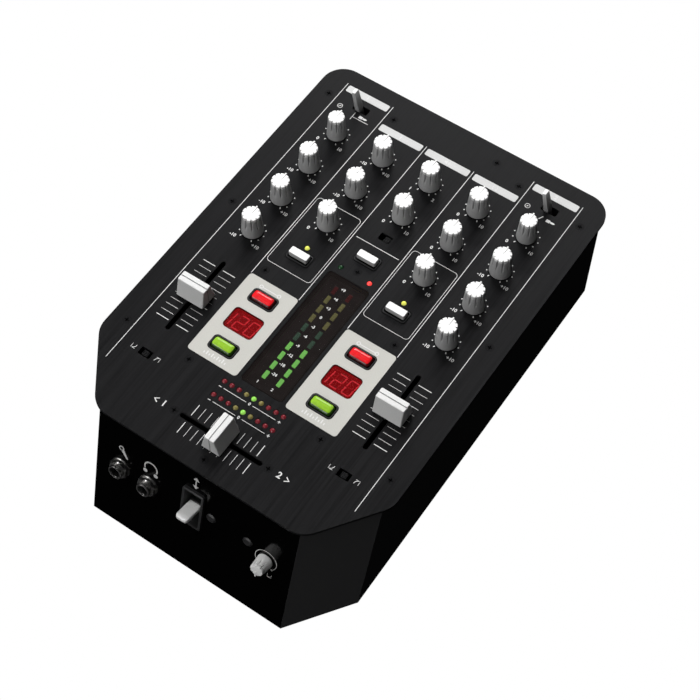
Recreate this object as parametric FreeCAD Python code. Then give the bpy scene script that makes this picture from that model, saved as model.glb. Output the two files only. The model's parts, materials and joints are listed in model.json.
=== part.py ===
import FreeCAD, Part
import math
import os
from FreeCAD import Placement, Rotation, Vector

os.makedirs("parts", exist_ok=True)

# Two-channel tabletop mixer: a flat control panel on a folded steel housing whose front leans forward.
# Millimetres. X to the right, Y to the rear, Z up, standing on Z = 0.
# Everything is drawn about the middle of the panel and moved at the end, so that the origin lies
# under the middle of the whole.

# Gaps between pieces
FIT_GAP = 0.2            # round a piece that sits in a cut-out
RUN_GAP = 0.05           # round a shaft in its bore
MOVE_GAP = 0.3           # round a piece that slides or tilts
SEAT_GAP = 0.1           # under a piece that a stop holds back

# Control layout on the panel, from the rear edge to the front edge
COLUMNS = 5
COLUMN_PITCH = 34.25
SIDE_MARGIN = 15.875
TOGGLE_INSET = 23.6
TOP_ROW_INSET = 48.4
KNOB_ROWS = 4
ROW_PITCH = 29.33
FADER_GAP = 27.7         # last knob row to the near end of the channel fader slots
CURVE_GAP = 19.2         # far end of those slots to the small curve switches
CROSS_GAP = 20.3
FRONT_MARGIN = 23.4
KNOBS_PER_COLUMN = (4, 3, 2, 3, 4)
CENTRE_SLIDE_ROW = 1.645   # places on the knob grid, counted in rows from the first
CENTRE_KEY_ROW = 2.288
CENTRE_SCREW_ROW = 2.65

# Panel
PANEL_T = 2.0
PANEL_REAR_R = 15.0
PANEL_CUT_X = 30.9       # the two front corners are cut off at a slant
PANEL_CUT_Y = 42.6
PANEL_CUT_R = 16.0

# Housing
HOUSING_H = 86.7
SHEET_T = 1.2
SIDE_INSET = 5.0
REAR_INSET = 5.4
FRONT_INSET = 2.5
FRONT_LEAN = 24.2        # how far the front runs forward from its top edge to its bottom edge
HOUSING_CUT_X = 27.8
FLANGE_W = 10.0
FOOT_H = 2.5
FOOT_R = 7.0
FOOT_TOE_R = 6.0
FOOT_INSET = 18.0

# Screws
SCREW_R = 1.5
SCREW_HEAD_R = 2.6
SCREW_HEAD_H = 1.1
SCREW_L = 8.0
SUNK_HEAD_R = 2.8        # flush heads in the panel, with a cross recess
SUNK_HEAD_H = 1.3
RECESS_L = 3.0
RECESS_W = 0.7
RECESS_DEPTH = 0.9
EDGE_SCREW_INSET = 10.3
EDGE_SCREW_PITCH = 101.9
FRONT_SCREW_INSET = 7.9
REAR_SCREW_INSET = 11.5
REAR_SCREW_X = 25.2
DIVIDER_SCREW_INSET = 5.8   # from the line between two columns
BOARD_SCREW_GAP = 0.5    # between the rear spacers and the housing's rear flange
BOARD_SCREW_MID_GAP = 19.0
BASE_SCREW_PITCH = 110.0

# Boards
BOARD_DROP = 16.0        # panel underside to board
BOARD_T = 1.6
BOARD_SIDE_GAP = 14.0
BOARD_REAR_GAP = 8.0
BOARD_FRONT_GAP = 7.0
SPACER_AF = 5.5
SPACER_COLLAR_R = 2.1

# Rotary knobs and their potentiometers
KNOB_LIFT = 0.3
KNOB_H = 17.1
KNOB_BASE_R = 6.8
KNOB_TOP_R = 5.5
GAIN_BASE_R = 6.2        # the two input gain knobs are slimmer
GAIN_TOP_R = 5.05
KNOB_RIM_H = 1.0
KNOB_CAP_H = 2.0
KNOB_WALL = 1.2
KNOB_HUB_WALL = 1.3
KNOB_HOLLOW_SHARE = 0.5
FLUTES = 10
FLUTE_R = 1.0
FLUTE_DEPTH = 0.7
FLUTE_START_SHARE = 0.42
POINTER_W = 1.3
POINTER_H = 0.5
POINTER_OVERHANG = 0.9
CAP_PEG_R = 1.6
CAP_PEG_H = 1.5
SHAFT_R = 3.0
SHAFT_FLAT = 1.5         # from the shaft's axis to its flat
SHAFT_GRIP = 8.0         # length of shaft inside the knob
BUSH_R = 4.0
POT_L = 9.8
POT_W = 11.0
POT_H = 6.5
POT_FLOOR = 1.5

# Faders
FADER_TRAVEL = 45.0
STEM_L = 4.0
STEM_T = 1.2
SLOT_END = 3.6           # slot past the stem at the end of its travel
SLOT_W = 3.1
FADER_W = 12.0
FADER_H = 9.0
FADER_WALL = 1.2
FADER_END = 8.6
CARRIAGE_L = 8.0
CARRIAGE_END = 1.5       # frame past the carriage at the end of its travel
RAIL_R = 1.2
RAIL_SEAT = 2.0
CAP_LIFT = 1.0
CAP_H = 13.8
CAP_BASE_L = 12.6        # along the travel
CAP_TOP_L = 6.5
CAP_BASE_W = 19.2
CAP_TOP_W = 18.8
CAP_CORNER_R = 0.8
CAP_WALL = 1.3
CAP_ROOF = 2.6
CAP_GROOVE_W = 0.7
CAP_GROOVE_DEPTH = 0.5
CAP_BOSS_WALL = 1.2
STEM_GRIP = 7.0

# Input toggle switches
TOGGLE_SHIFT = 1.5       # from the column's line to the slot's middle
TOGGLE_SLOT_L = 10.7
TOGGLE_SLOT_W = 5.4
TOGGLE_SLOT_R = 1.0
TOGGLE_BODY_L = 13.0
TOGGLE_BODY_W = 7.6
TOGGLE_BODY_DROP = 1.5   # panel underside to the top of the body
TOGGLE_PIVOT_DROP = 4.0
TOGGLE_PIN_R = 0.8
TOGGLE_TILT = 12.5
TOGGLE_H = 15.3
TOGGLE_ROOT_W = 4.6
TOGGLE_TIP_W = 3.4
TOGGLE_ROOT_T = 2.8
TOGGLE_TIP_T = 1.8
TOGGLE_EDGE_R = 0.3
TOGGLE_TAIL = 3.6

# Push keys: small white ones, large coloured ones
KEY_L = 13.0
KEY_W = 5.0
KEY_R = 0.9
KEY_DRAFT = 0.2
KEY_PROUD = 3.5
KEY_BEZEL_L = 16.2
KEY_BEZEL_W = 9.3
KEY_BEZEL_R = 2.0
LAMP_KEY_L = 14.4
LAMP_KEY_W = 7.0
LAMP_KEY_R = 2.0
LAMP_KEY_DRAFT = 0.8
LAMP_KEY_PROUD = 2.2
LAMP_BEZEL_L = 17.3
LAMP_BEZEL_W = 9.9
LAMP_BEZEL_R = 2.6
LAMP_KEY_PITCH = 19.15   # from the display between the two coloured keys
KEY_CROWN_R = 0.5
KEY_TRAVEL = 1.2
KEY_COLLAR = 0.8
KEY_COLLAR_T = 0.8
PLUNGER_R = 1.6
PLUNGER_GRIP = 2.5
TACT_L = 6.0
TACT_H = 5.5
BEZEL_RIM = 0.4          # flat rim left round the sloping well
BEZEL_PROUD = 0.3
BEZEL_LIP = 1.0
BEZEL_LIP_T = 1.0

# Small slide switches
SLIDE_SLOT_L = 8.0
SLIDE_SLOT_W = 5.2
SLIDE_SLOT_R = 0.5
SLIDE_NUB_L = 4.0
SLIDE_NUB_W = 3.6
SLIDE_NUB_DROP = 0.7
SLIDE_TRAVEL = 3.0
SLIDE_BODY_W = 6.6
SLIDE_BODY_H = 5.0
SLIDE_WALL = 1.1
SLIDE_FOOT_LIP = 0.6
SLIDE_FOOT_H = 2.0

# Level meter
METER_W = 29.0
METER_ROWS = 10
METER_PITCH = 7.62
METER_MARGIN = 13.0
METER_RISE = 2.8         # meter's rear end beyond the last knob row
METER_R = 2.5
METER_FIRST = 8.8        # from the meter's rear end to its first pair of bars
METER_LENS_DROP = 0.2
METER_LENS_T = 2.2
METER_LIP = 1.5
METER_LIP_T = 0.8
BAR_X = 5.0
BAR_W = 2.2
BAR_L = 5.2
BAFFLE_INSET = 1.0

# Round indicator lamps
LAMP_R = 1.5
LAMP_PROUD = 0.9
LAMP_SPACER_R = 2.1
LAMP_PITCH = 5.08
LAMPS_PER_ROW = 9
LAMP_ROW_GAP = 6.2
LAMP_ROW_PITCH = 10.3
KEY_LAMP_RISE = 7.85
CENTRE_LAMP_X = 10.15

# Tempo displays
DISPLAY_L = 20.2
DISPLAY_W = 15.1
DISPLAY_R = 2.5
DISPLAY_LENS_T = 1.2
DISPLAY_LENS_DROP = 0.2

# Front face, measured down the slope from its top edge
FRONT_SIDE_INSET = 17.5  # outer socket and knob, from the front's upper corners
JACK_PITCH = 20.2
JACK_DOWN = 39.0
JACK_BORE_R = 3.25
JACK_DEPTH = 30.0
JACK_BUSH_R = 4.6
JACK_PROUD = 6.0
JACK_BODY_W = 15.0
JACK_TAIL_WALL = 1.5
NUT_AF = 11.6
NUT_T = 2.6
WASHER_R = 6.7
WASHER_T = 0.8
CURVE_KNOB_BASE_R = 4.9
CURVE_KNOB_TOP_R = 4.1
CURVE_KNOB_H = 10.2
CURVE_SHAFT_R = 2.0
CURVE_SHAFT_FLAT = 1.0
CURVE_SHAFT_GRIP = 5.0
CURVE_BUSH_R = 3.0
FRONT_SCREW_DOWN = 33.5
FRONT_SCREW_X = 12.8
FRONT_SCREW_PITCH = 25.2
FRONT_SCREW_HEAD_R = 3.25
FRONT_SCREW_HEAD_H = 1.0
FRONT_BOARD_MARGIN = 7.0

# Crossfader reverse lever
LEVER_DOWN = 34.0
LEVER_SIDE_GAP = 0.75
LEVER_BEZEL_L = 30.0
LEVER_BEZEL_T = 1.2
LEVER_BEZEL_LIP = 1.2
LEVER_BEZEL_R = 1.6
LEVER_WELL_WALL = 1.2
LEVER_W = 8.5
LEVER_H = 13.4
LEVER_ROOT_T = 4.0
LEVER_TIP_T = 3.0
LEVER_PIVOT = 4.2        # behind the face
LEVER_HUB_R = 2.4
LEVER_PIN_R = 1.0
LEVER_SWING = 14.0

# Rear sockets
RCA_PAIRS = 6
RCA_PITCH = 18.0
RCA_STACK = 14.5
RCA_SLEEVE_R = 4.15
RCA_SLEEVE_T = 0.6
RCA_PIN_R = 1.65
RCA_PROUD = 9.0
RCA_BORE = 8.0
RCA_BLOCK_W = 11.0
RCA_BLOCK_H = 30.0
RCA_BLOCK_D = 12.0
RCA_DROP = 4.0           # main board to the top of the socket blocks
REAR_BOARD_D = 46.0
REAR_EDGE_X = 14.0       # rocker switch, from the housing's side
REAR_ITEM_PITCH = 20.0
POST_R = 2.0
POST_NUT_R = 4.6
POST_NUT_T = 5.0
POST_PROUD = 8.5
USB_W = 12.0
USB_H = 11.0
USB_D = 16.0
USB_WALL = 1.2
USB_CORNER = 2.2
USB_TONGUE_W = 5.6
USB_TONGUE_H = 3.2
USB_FLOOR = 5.0
INLET_R = 5.0
INLET_BORE_R = 3.2
INLET_PIN_R = 1.0
INLET_D = 12.0
INLET_BODY_W = 12.0
INLET_PROUD = 1.5

# Rear rocker switch
ROCKER_R = 7.5
ROCKER_W = 9.6
ROCKER_TILT = 8.0
ROCKER_FLANK = 4.0       # where its end faces start and stop, in degrees about the pivot
ROCKER_BROW = 32.0
ROCKER_VALLEY = 3.0
ROCKER_PIN_R = 1.2
ROCKER_PIN_L = 0.9
ROCKER_WALL = 1.6
ROCKER_FLANGE = 1.4
ROCKER_FLANGE_T = 1.4
ROCKER_DEPTH = 9.0

JACK_BODY_L = JACK_DEPTH - JACK_PROUD - SHEET_T + JACK_TAIL_WALL
LEVER_BEZEL_W = LEVER_W + 2 * (LEVER_SIDE_GAP + LEVER_WELL_WALL + LEVER_BEZEL_LIP)

# Levels
UNDER_Z = FOOT_H + HOUSING_H
TOP_Z = UNDER_Z + PANEL_T
BOARD_Z = UNDER_Z - BOARD_DROP

# Layout worked out from the rear edge, then about the panel's middle
FADER_SLOT_L = FADER_TRAVEL + STEM_L + 2 * SLOT_END
LAST_ROW_INSET = TOP_ROW_INSET + (KNOB_ROWS - 1) * ROW_PITCH
FADER_INSET = LAST_ROW_INSET + FADER_GAP + FADER_SLOT_L / 2
CURVE_INSET = FADER_INSET + FADER_SLOT_L / 2 + CURVE_GAP
METER_L = METER_ROWS * METER_PITCH + METER_MARGIN
METER_INSET = LAST_ROW_INSET - METER_RISE
LAMP_ROW_INSET = METER_INSET + METER_L + LAMP_ROW_GAP
CROSS_INSET = max(CURVE_INSET, LAMP_ROW_INSET + LAMP_ROW_PITCH) + CROSS_GAP
PANEL_W = COLUMNS * COLUMN_PITCH + 2 * SIDE_MARGIN
PANEL_D = CROSS_INSET + FRONT_MARGIN
SIDE_X = PANEL_W / 2 - SIDE_INSET
REAR_Y = PANEL_D / 2 - REAR_INSET
FRONT_Y = -PANEL_D / 2 + FRONT_INSET
OUTER_X = 2 * COLUMN_PITCH
TOGGLE_Y = PANEL_D / 2 - TOGGLE_INSET
TOGGLE_XS = (-OUTER_X + TOGGLE_SHIFT, OUTER_X + TOGGLE_SHIFT)
FADER_Y = PANEL_D / 2 - FADER_INSET
CURVE_Y = PANEL_D / 2 - CURVE_INSET
CROSS_Y = PANEL_D / 2 - CROSS_INSET
METER_Y = PANEL_D / 2 - METER_INSET - METER_L / 2
LAMP_ROW_YS = [PANEL_D / 2 - LAMP_ROW_INSET - i * LAMP_ROW_PITCH for i in range(2)]
BEHIND = REAR_Y + max(RCA_PROUD, POST_PROUD)
AHEAD = FRONT_Y - FRONT_LEAN
PANEL_Y = -(BEHIND + AHEAD) / 2

FADER_CAVITY_L = FADER_TRAVEL + CARRIAGE_L + 2 * CARRIAGE_END
FADER_FRAME_L = FADER_CAVITY_L + 2 * FADER_END
FADER_SCREW_X = FADER_CAVITY_L / 2 + FADER_END / 2
RCA_Z = BOARD_Z - BOARD_T - RCA_DROP - RCA_BLOCK_H / 2
REAR_BOARD_Z = RCA_Z - RCA_BLOCK_H / 2 - BOARD_T
FRONT_BOARD_DROP = SHEET_T + POT_H
LEAN = math.degrees(math.atan2(FRONT_LEAN, HOUSING_H))
FRONT_PLACE = Placement(Vector(0, FRONT_Y, UNDER_Z), Rotation(Vector(1, 0, 0), 90 - LEAN))
FRONT_HALF = SIDE_X - HOUSING_CUT_X
MIC_X = -(FRONT_HALF - FRONT_SIDE_INSET)
JACK_XS = (MIC_X, MIC_X + JACK_PITCH)
CURVE_KNOB_X = FRONT_HALF - FRONT_SIDE_INSET
FRONT_SCREW_XS = (FRONT_SCREW_X, FRONT_SCREW_X + FRONT_SCREW_PITCH)
ROCKER_X = -(SIDE_X - REAR_EDGE_X)
INLET_X = ROCKER_X + REAR_ITEM_PITCH
USB_X = INLET_X + REAR_ITEM_PITCH
POST_X = SIDE_X - REAR_EDGE_X
RCA_XS = [POST_X - REAR_ITEM_PITCH - i * RCA_PITCH for i in range(RCA_PAIRS)]


def row_y(row):
    return PANEL_D / 2 - TOP_ROW_INSET - row * ROW_PITCH


def column_x(column):
    return (column - (COLUMNS - 1) / 2) * COLUMN_PITCH


KNOB_NAMES = (
    ("ch1_gain", "ch1_high", "ch1_mid", "ch1_low"),
    ("mic_high", "mic_low", "mic_level"),
    ("phones_mix", "phones_level"),
    ("main_level", "main_balance", "main_effect"),
    ("ch2_gain", "ch2_high", "ch2_mid", "ch2_low"),
)
KNOBS = [(KNOB_NAMES[c][r], column_x(c), row_y(r))
         for c in range(COLUMNS) for r in range(KNOBS_PER_COLUMN[c])]
LAST_ROW = KNOB_ROWS - 1
WHITE_KEYS = (("mic_on", -COLUMN_PITCH, row_y(LAST_ROW)), ("monitor", 0.0, row_y(CENTRE_KEY_ROW)),
              ("effect", COLUMN_PITCH, row_y(LAST_ROW)))
RED_KEYS = (("sync_ch1", -COLUMN_PITCH, FADER_Y + LAMP_KEY_PITCH),
            ("sync_ch2", COLUMN_PITCH, FADER_Y + LAMP_KEY_PITCH))
GREEN_KEYS = (("beat_ch1", -COLUMN_PITCH, FADER_Y - LAMP_KEY_PITCH),
              ("beat_ch2", COLUMN_PITCH, FADER_Y - LAMP_KEY_PITCH))
LAMP_KEYS = RED_KEYS + GREEN_KEYS
SLIDES = (("monitor_source", 0.0, row_y(CENTRE_SLIDE_ROW), SLIDE_TRAVEL / 2),
          ("curve_ch1", -OUTER_X, CURVE_Y, 0.0), ("curve_ch2", OUTER_X, CURVE_Y, 0.0))
BOARD_SCREW_X = 1.5 * COLUMN_PITCH - DIVIDER_SCREW_INSET
SPACER_R = SPACER_AF / 2 / math.cos(math.pi / 6)
BOARD_SCREW_REAR_Y = REAR_Y - FLANGE_W - SPACER_R - BOARD_SCREW_GAP
BOARD_SCREWS = [(sx * BOARD_SCREW_X, y) for sx in (-1, 1)
                for y in (BOARD_SCREW_REAR_Y, row_y(LAST_ROW) - BOARD_SCREW_MID_GAP, LAMP_ROW_YS[0])]
BOARD_SCREWS.append((0.0, row_y(CENTRE_SCREW_ROW)))
EDGE_SCREWS = [(sx * (PANEL_W / 2 - EDGE_SCREW_INSET), row_y(CENTRE_SCREW_ROW) + i * EDGE_SCREW_PITCH)
               for sx in (-1, 1) for i in (-1, 0, 1)]
EDGE_SCREWS.append((0.0, -PANEL_D / 2 + FRONT_SCREW_INSET))
EDGE_SCREWS.append((REAR_SCREW_X, PANEL_D / 2 - REAR_SCREW_INSET))
CROSS_SCREWS = [(-FADER_SCREW_X, CROSS_Y), (FADER_SCREW_X, CROSS_Y)]
LAMP_ROW_XS = [(i - (LAMPS_PER_ROW - 1) / 2) * LAMP_PITCH for i in range(LAMPS_PER_ROW)]
KEY_LAMP_Y = row_y(LAST_ROW) + KEY_LAMP_RISE
DISPLAY_XS = (-COLUMN_PITCH, COLUMN_PITCH)


# Plain shapes

def block(x, y, z, length, width, height):
    return Part.makeBox(length, width, height, Vector(x - length / 2, y - width / 2, z))


def rod(x, y, z, radius, height):
    return Part.makeCylinder(radius, height, Vector(x, y, z))


def rearward(x, y, z, radius, depth):
    return Part.makeCylinder(radius, depth, Vector(x, y, z), Vector(0, 1, 0))


def sideways(x, y, z, radius, length):
    return Part.makeCylinder(radius, length, Vector(x - length / 2, y, z), Vector(1, 0, 0))


def rounded_wire(corners, radii, z=0.0):
    points = [Vector(x, y, z) for x, y in corners]
    turns = []
    for i, corner in enumerate(points):
        back = (points[i - 1] - corner).normalize()
        onward = (points[(i + 1) % len(points)] - corner).normalize()
        half = back.getAngle(onward) / 2
        reach = radii[i] / math.tan(half)
        inward = (back + onward).normalize()
        middle = corner + inward * (radii[i] / math.sin(half) - radii[i])
        turns.append((corner + back * reach, middle, corner + onward * reach))
    edges = []
    for i, (start, middle, end) in enumerate(turns):
        if radii[i] > 0:
            edges.append(Part.Arc(start, middle, end).toShape())
        following = turns[(i + 1) % len(turns)][0]
        if (following - end).Length > 1e-6:
            edges.append(Part.makeLine(end, following))
    return Part.Wire(edges)


def oblong_wire(x, y, z, length, width, radius):
    corners = [(x + sx * length / 2, y + sy * width / 2) for sx, sy in ((1, 1), (-1, 1), (-1, -1), (1, -1))]
    return rounded_wire(corners, [radius] * 4, z)


def oblong(x, y, z, length, width, height, radius):
    return Part.Face(oblong_wire(x, y, z, length, width, radius)).extrude(Vector(0, 0, height))


def slot(x, y, z, length, width, height):
    middle = block(x, y, z, length - width, width, height)
    ends = [rod(x + side * (length - width) / 2, y, z, width / 2, height) for side in (-1, 1)]
    return middle.fuse(ends).removeSplitter()


def tapered(x, y, low, high):
    wires = [oblong_wire(x, y, z, length, width, radius) for z, length, width, radius in (low, high)]
    return Part.makeLoft(wires, True, True)


def turned(profile):
    points = [Vector(r, 0, z) for r, z in profile + profile[:1]]
    return Part.Face(Part.makePolygon(points)).revolve(Vector(0, 0, 0), Vector(0, 0, 1), 360)


def hexagon(x, y, z, across_flats, height):
    radius = across_flats / 2 / math.cos(math.pi / 6)
    points = [Vector(x + radius * math.cos(i * math.pi / 3), y + radius * math.sin(i * math.pi / 3), z)
              for i in range(7)]
    return Part.Face(Part.makePolygon(points)).extrude(Vector(0, 0, height))


def moved(shape, x, y, z):
    return shape.translated(Vector(x, y, z))


def turned_about(shape, pivot, axis, angle):
    copy = shape.copy()
    copy.rotate(Vector(*pivot), Vector(*axis), angle)
    return copy


def on_front(shape):
    copy = shape.copy()
    copy.Placement = FRONT_PLACE.multiply(copy.Placement)
    return copy


# Panel, housing and base

def panel_outline():
    half_w = PANEL_W / 2
    half_d = PANEL_D / 2
    near_w = half_w - PANEL_CUT_X
    cut_y = -half_d + PANEL_CUT_Y
    corners = [(half_w, half_d), (-half_w, half_d), (-half_w, cut_y), (-near_w, -half_d), (near_w, -half_d),
               (half_w, cut_y)]
    return rounded_wire(corners, [PANEL_REAR_R] * 2 + [PANEL_CUT_R] * 4, UNDER_Z)


def panel_screws():
    return BOARD_SCREWS + EDGE_SCREWS + CROSS_SCREWS


def round_lamps():
    lamps = [(x, y) for y in LAMP_ROW_YS for x in LAMP_ROW_XS]
    lamps += [(sx * COLUMN_PITCH, KEY_LAMP_Y) for sx in (-1, 1)]
    lamps += [(sx * CENTRE_LAMP_X, KEY_LAMP_Y) for sx in (-1, 1)]
    return lamps


def sunk_hole():
    # Clearance for a flush screw whose head ends at Z = 0.
    return turned([(0, -PANEL_T), (SCREW_R + FIT_GAP, -PANEL_T), (SCREW_R + FIT_GAP, -SUNK_HEAD_H),
                   (SUNK_HEAD_R, 0), (0, 0)])


def top_panel():
    plate = Part.Face(panel_outline()).extrude(Vector(0, 0, PANEL_T))
    cuts = [rod(x, y, UNDER_Z, BUSH_R + FIT_GAP, PANEL_T) for name, x, y in KNOBS]
    cuts += [moved(sunk_hole(), x, y, TOP_Z) for x, y in panel_screws()]
    cuts += [rod(x, y, UNDER_Z, LAMP_R + FIT_GAP, PANEL_T) for x, y in round_lamps()]
    for x in TOGGLE_XS:
        cuts.append(oblong(x, TOGGLE_Y, UNDER_Z, TOGGLE_SLOT_L, TOGGLE_SLOT_W, PANEL_T, TOGGLE_SLOT_R))
    for sx in (-1, 1):
        cuts.append(slot(0, 0, UNDER_Z, FADER_SLOT_L, SLOT_W, PANEL_T))
        cuts[-1] = moved(turned_about(cuts[-1], (0, 0, 0), (0, 0, 1), 90), sx * OUTER_X, FADER_Y, 0)
    cuts.append(slot(0, CROSS_Y, UNDER_Z, FADER_SLOT_L, SLOT_W, PANEL_T))
    key_sets = ((WHITE_KEYS, KEY_BEZEL_L, KEY_BEZEL_W, KEY_BEZEL_R),
                (LAMP_KEYS, LAMP_BEZEL_L, LAMP_BEZEL_W, LAMP_BEZEL_R))
    for keys, length, width, radius in key_sets:
        hole = oblong(0, 0, UNDER_Z, length + 2 * FIT_GAP, width + 2 * FIT_GAP, PANEL_T, radius)
        cuts += [moved(hole, x, y, 0) for name, x, y in keys]
    for name, x, y, shift in SLIDES:
        cuts.append(oblong(x, y, UNDER_Z, SLIDE_SLOT_L, SLIDE_SLOT_W, PANEL_T, SLIDE_SLOT_R))
    for x in DISPLAY_XS:
        cuts.append(oblong(x, FADER_Y, UNDER_Z, DISPLAY_L, DISPLAY_W, PANEL_T, DISPLAY_R))
    cuts.append(oblong(0, METER_Y, UNDER_Z, METER_W, METER_L, PANEL_T, METER_R))
    return plate.cut(cuts)


def housing_wire(z, inset):
    # Outline of the housing at a height, moved inwards by a distance square to each wall.
    run = HOUSING_CUT_X * PANEL_CUT_Y / PANEL_CUT_X
    slant = math.hypot(HOUSING_CUT_X, run)
    out_x = run / slant
    out_y = -HOUSING_CUT_X / slant
    front = FRONT_Y - FRONT_LEAN * (UNDER_Z - z) / HOUSING_H
    front_inset = inset * math.hypot(1, FRONT_LEAN / HOUSING_H)
    cut_inset = inset * math.hypot(1, FRONT_LEAN * out_y / HOUSING_H)
    reach = out_x * SIDE_X + out_y * (front + run) - cut_inset
    near_y = front + front_inset
    side_x = SIDE_X - inset
    near_x = (reach - out_y * near_y) / out_x
    side_y = (reach - out_x * side_x) / out_y
    rear_y = REAR_Y - inset
    corners = [(side_x, rear_y), (-side_x, rear_y), (-side_x, side_y), (-near_x, near_y), (near_x, near_y),
               (side_x, side_y)]
    return Part.makePolygon([Vector(x, y, z) for x, y in corners + corners[:1]])


def housing_solid(low, high, inset):
    return Part.makeLoft([housing_wire(low, inset), housing_wire(high, inset)], True, True)


def housing_prism(level, low, high, inset):
    # Upright prism on the outline at one level.
    wire = housing_wire(level, inset)
    return Part.Face(wire).extrude(Vector(0, 0, high - low)).translated(Vector(0, 0, low - level))


def base_screws():
    places = [(sx * (SIDE_X - FLANGE_W / 2), sy * BASE_SCREW_PITCH) for sx in (-1, 1) for sy in (-1, 0, 1)]
    places.append((0.0, REAR_Y - FLANGE_W / 2))
    places.append((0.0, AHEAD + FLANGE_W / 2 + SHEET_T))
    return places


def front_cuts():
    cuts = [rod(x, -JACK_DOWN, -2 * SHEET_T, JACK_BUSH_R + FIT_GAP, 4 * SHEET_T) for x in JACK_XS]
    cuts.append(rod(CURVE_KNOB_X, -JACK_DOWN, -2 * SHEET_T, CURVE_BUSH_R + FIT_GAP, 4 * SHEET_T))
    cuts += [rod(x, -FRONT_SCREW_DOWN, -2 * SHEET_T, SCREW_R + FIT_GAP, 4 * SHEET_T) for x in FRONT_SCREW_XS]
    cuts.append(block(0, -LEVER_DOWN, -2 * SHEET_T, LEVER_BEZEL_W - 2 * LEVER_BEZEL_LIP + 2 * FIT_GAP,
                      LEVER_BEZEL_L - 2 * LEVER_BEZEL_LIP + 2 * FIT_GAP, 4 * SHEET_T))
    return [on_front(cut) for cut in cuts]


def rear_cuts():
    back = REAR_Y - 2 * SHEET_T
    depth = 4 * SHEET_T
    cuts = [rearward(x, back, RCA_Z + side * RCA_STACK / 2, RCA_SLEEVE_R + FIT_GAP, depth)
            for x in RCA_XS for side in (-1, 1)]
    cuts.append(rearward(POST_X, back, RCA_Z, POST_R + FIT_GAP, depth))
    cuts.append(rearward(INLET_X, back, RCA_Z, INLET_R + FIT_GAP, depth))
    for x, width, height in ((USB_X, USB_W, USB_H), (ROCKER_X, rocker_well_w(), rocker_well_h())):
        hole_h = height + 2 * FIT_GAP
        cuts.append(block(x, REAR_Y, RCA_Z - hole_h / 2, width + 2 * FIT_GAP, depth, hole_h))
    return cuts


def chassis_shell():
    plate_top = FOOT_H + SHEET_T
    flange_top = plate_top + SHEET_T
    cuts = [housing_solid(flange_top, UNDER_Z - SHEET_T, SHEET_T),
            housing_prism(UNDER_Z, UNDER_Z - SHEET_T, UNDER_Z, FLANGE_W),
            housing_prism(flange_top, plate_top, flange_top, FLANGE_W),
            housing_solid(FOOT_H, plate_top, SHEET_T)]
    cuts += [rod(x, y, UNDER_Z - SHEET_T, SCREW_R + FIT_GAP, SHEET_T) for x, y in EDGE_SCREWS]
    cuts += [rod(x, y, plate_top, SCREW_R + FIT_GAP, SHEET_T) for x, y in base_screws()]
    return housing_solid(FOOT_H, UNDER_Z, 0).cut(cuts + front_cuts() + rear_cuts())


def bottom_plate():
    plate = housing_solid(FOOT_H, FOOT_H + SHEET_T, SHEET_T + FIT_GAP)
    return plate.cut([rod(x, y, FOOT_H, SCREW_R + FIT_GAP, SHEET_T) for x, y in base_screws()])


def foot_places():
    x = SIDE_X - FOOT_INSET
    return [(sx * x, y) for sx in (-1, 1) for y in (REAR_Y - FOOT_INSET, AHEAD + HOUSING_CUT_X + FOOT_INSET)]


def rubber_feet():
    foot = turned([(0, 0), (FOOT_TOE_R, 0), (FOOT_R, FOOT_H * 0.4), (FOOT_R, FOOT_H), (0, FOOT_H)])
    return [moved(foot, x, y, 0) for x, y in foot_places()]


# Fasteners

def screw(head_r, head_h, length):
    # Low domed head above Z = 0, plain shank below.
    shoulder = head_r * 0.7
    return turned([(0, -length), (SCREW_R, -length), (SCREW_R, 0), (head_r, 0), (head_r, head_h * 0.4),
                   (shoulder, head_h), (0, head_h)])


def panel_screw_set():
    one = turned([(0, -SCREW_L), (SCREW_R, -SCREW_L), (SCREW_R, -SUNK_HEAD_H), (SUNK_HEAD_R, 0), (0, 0)])
    one = one.cut([block(0, 0, -RECESS_DEPTH, RECESS_L, RECESS_W, RECESS_DEPTH),
                   block(0, 0, -RECESS_DEPTH, RECESS_W, RECESS_L, RECESS_DEPTH)])
    return [moved(one, x, y, TOP_Z) for x, y in panel_screws()]


def case_screws():
    base = turned_about(screw(SCREW_HEAD_R, SCREW_HEAD_H, SHEET_T * 4), (0, 0, 0), (1, 0, 0), 180)
    solids = [moved(base, x, y, FOOT_H) for x, y in base_screws()]
    front = screw(FRONT_SCREW_HEAD_R, FRONT_SCREW_HEAD_H, SHEET_T + POT_H / 2)
    return solids + [on_front(moved(front, x, -FRONT_SCREW_DOWN, 0)) for x in FRONT_SCREW_XS]


def jack_nuts():
    solids = []
    for x in JACK_XS:
        hole = rod(x, -JACK_DOWN, 0, JACK_BUSH_R + RUN_GAP, WASHER_T + NUT_T)
        washer = rod(x, -JACK_DOWN, 0, WASHER_R, WASHER_T).cut(hole)
        nut = hexagon(x, -JACK_DOWN, WASHER_T, NUT_AF, NUT_T).cut(hole)
        solids += [on_front(washer), on_front(nut)]
    return solids


# Boards and spacers

def main_board():
    front = CROSS_Y + FADER_W / 2 + BOARD_FRONT_GAP
    rear = REAR_Y - BOARD_REAR_GAP
    foot = BOARD_Z - BOARD_T
    board = block(0, (front + rear) / 2, foot, 2 * (SIDE_X - BOARD_SIDE_GAP), rear - front, BOARD_T)
    return board.cut([rod(x, y, foot, SPACER_COLLAR_R + FIT_GAP, BOARD_T) for x, y in BOARD_SCREWS])


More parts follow.
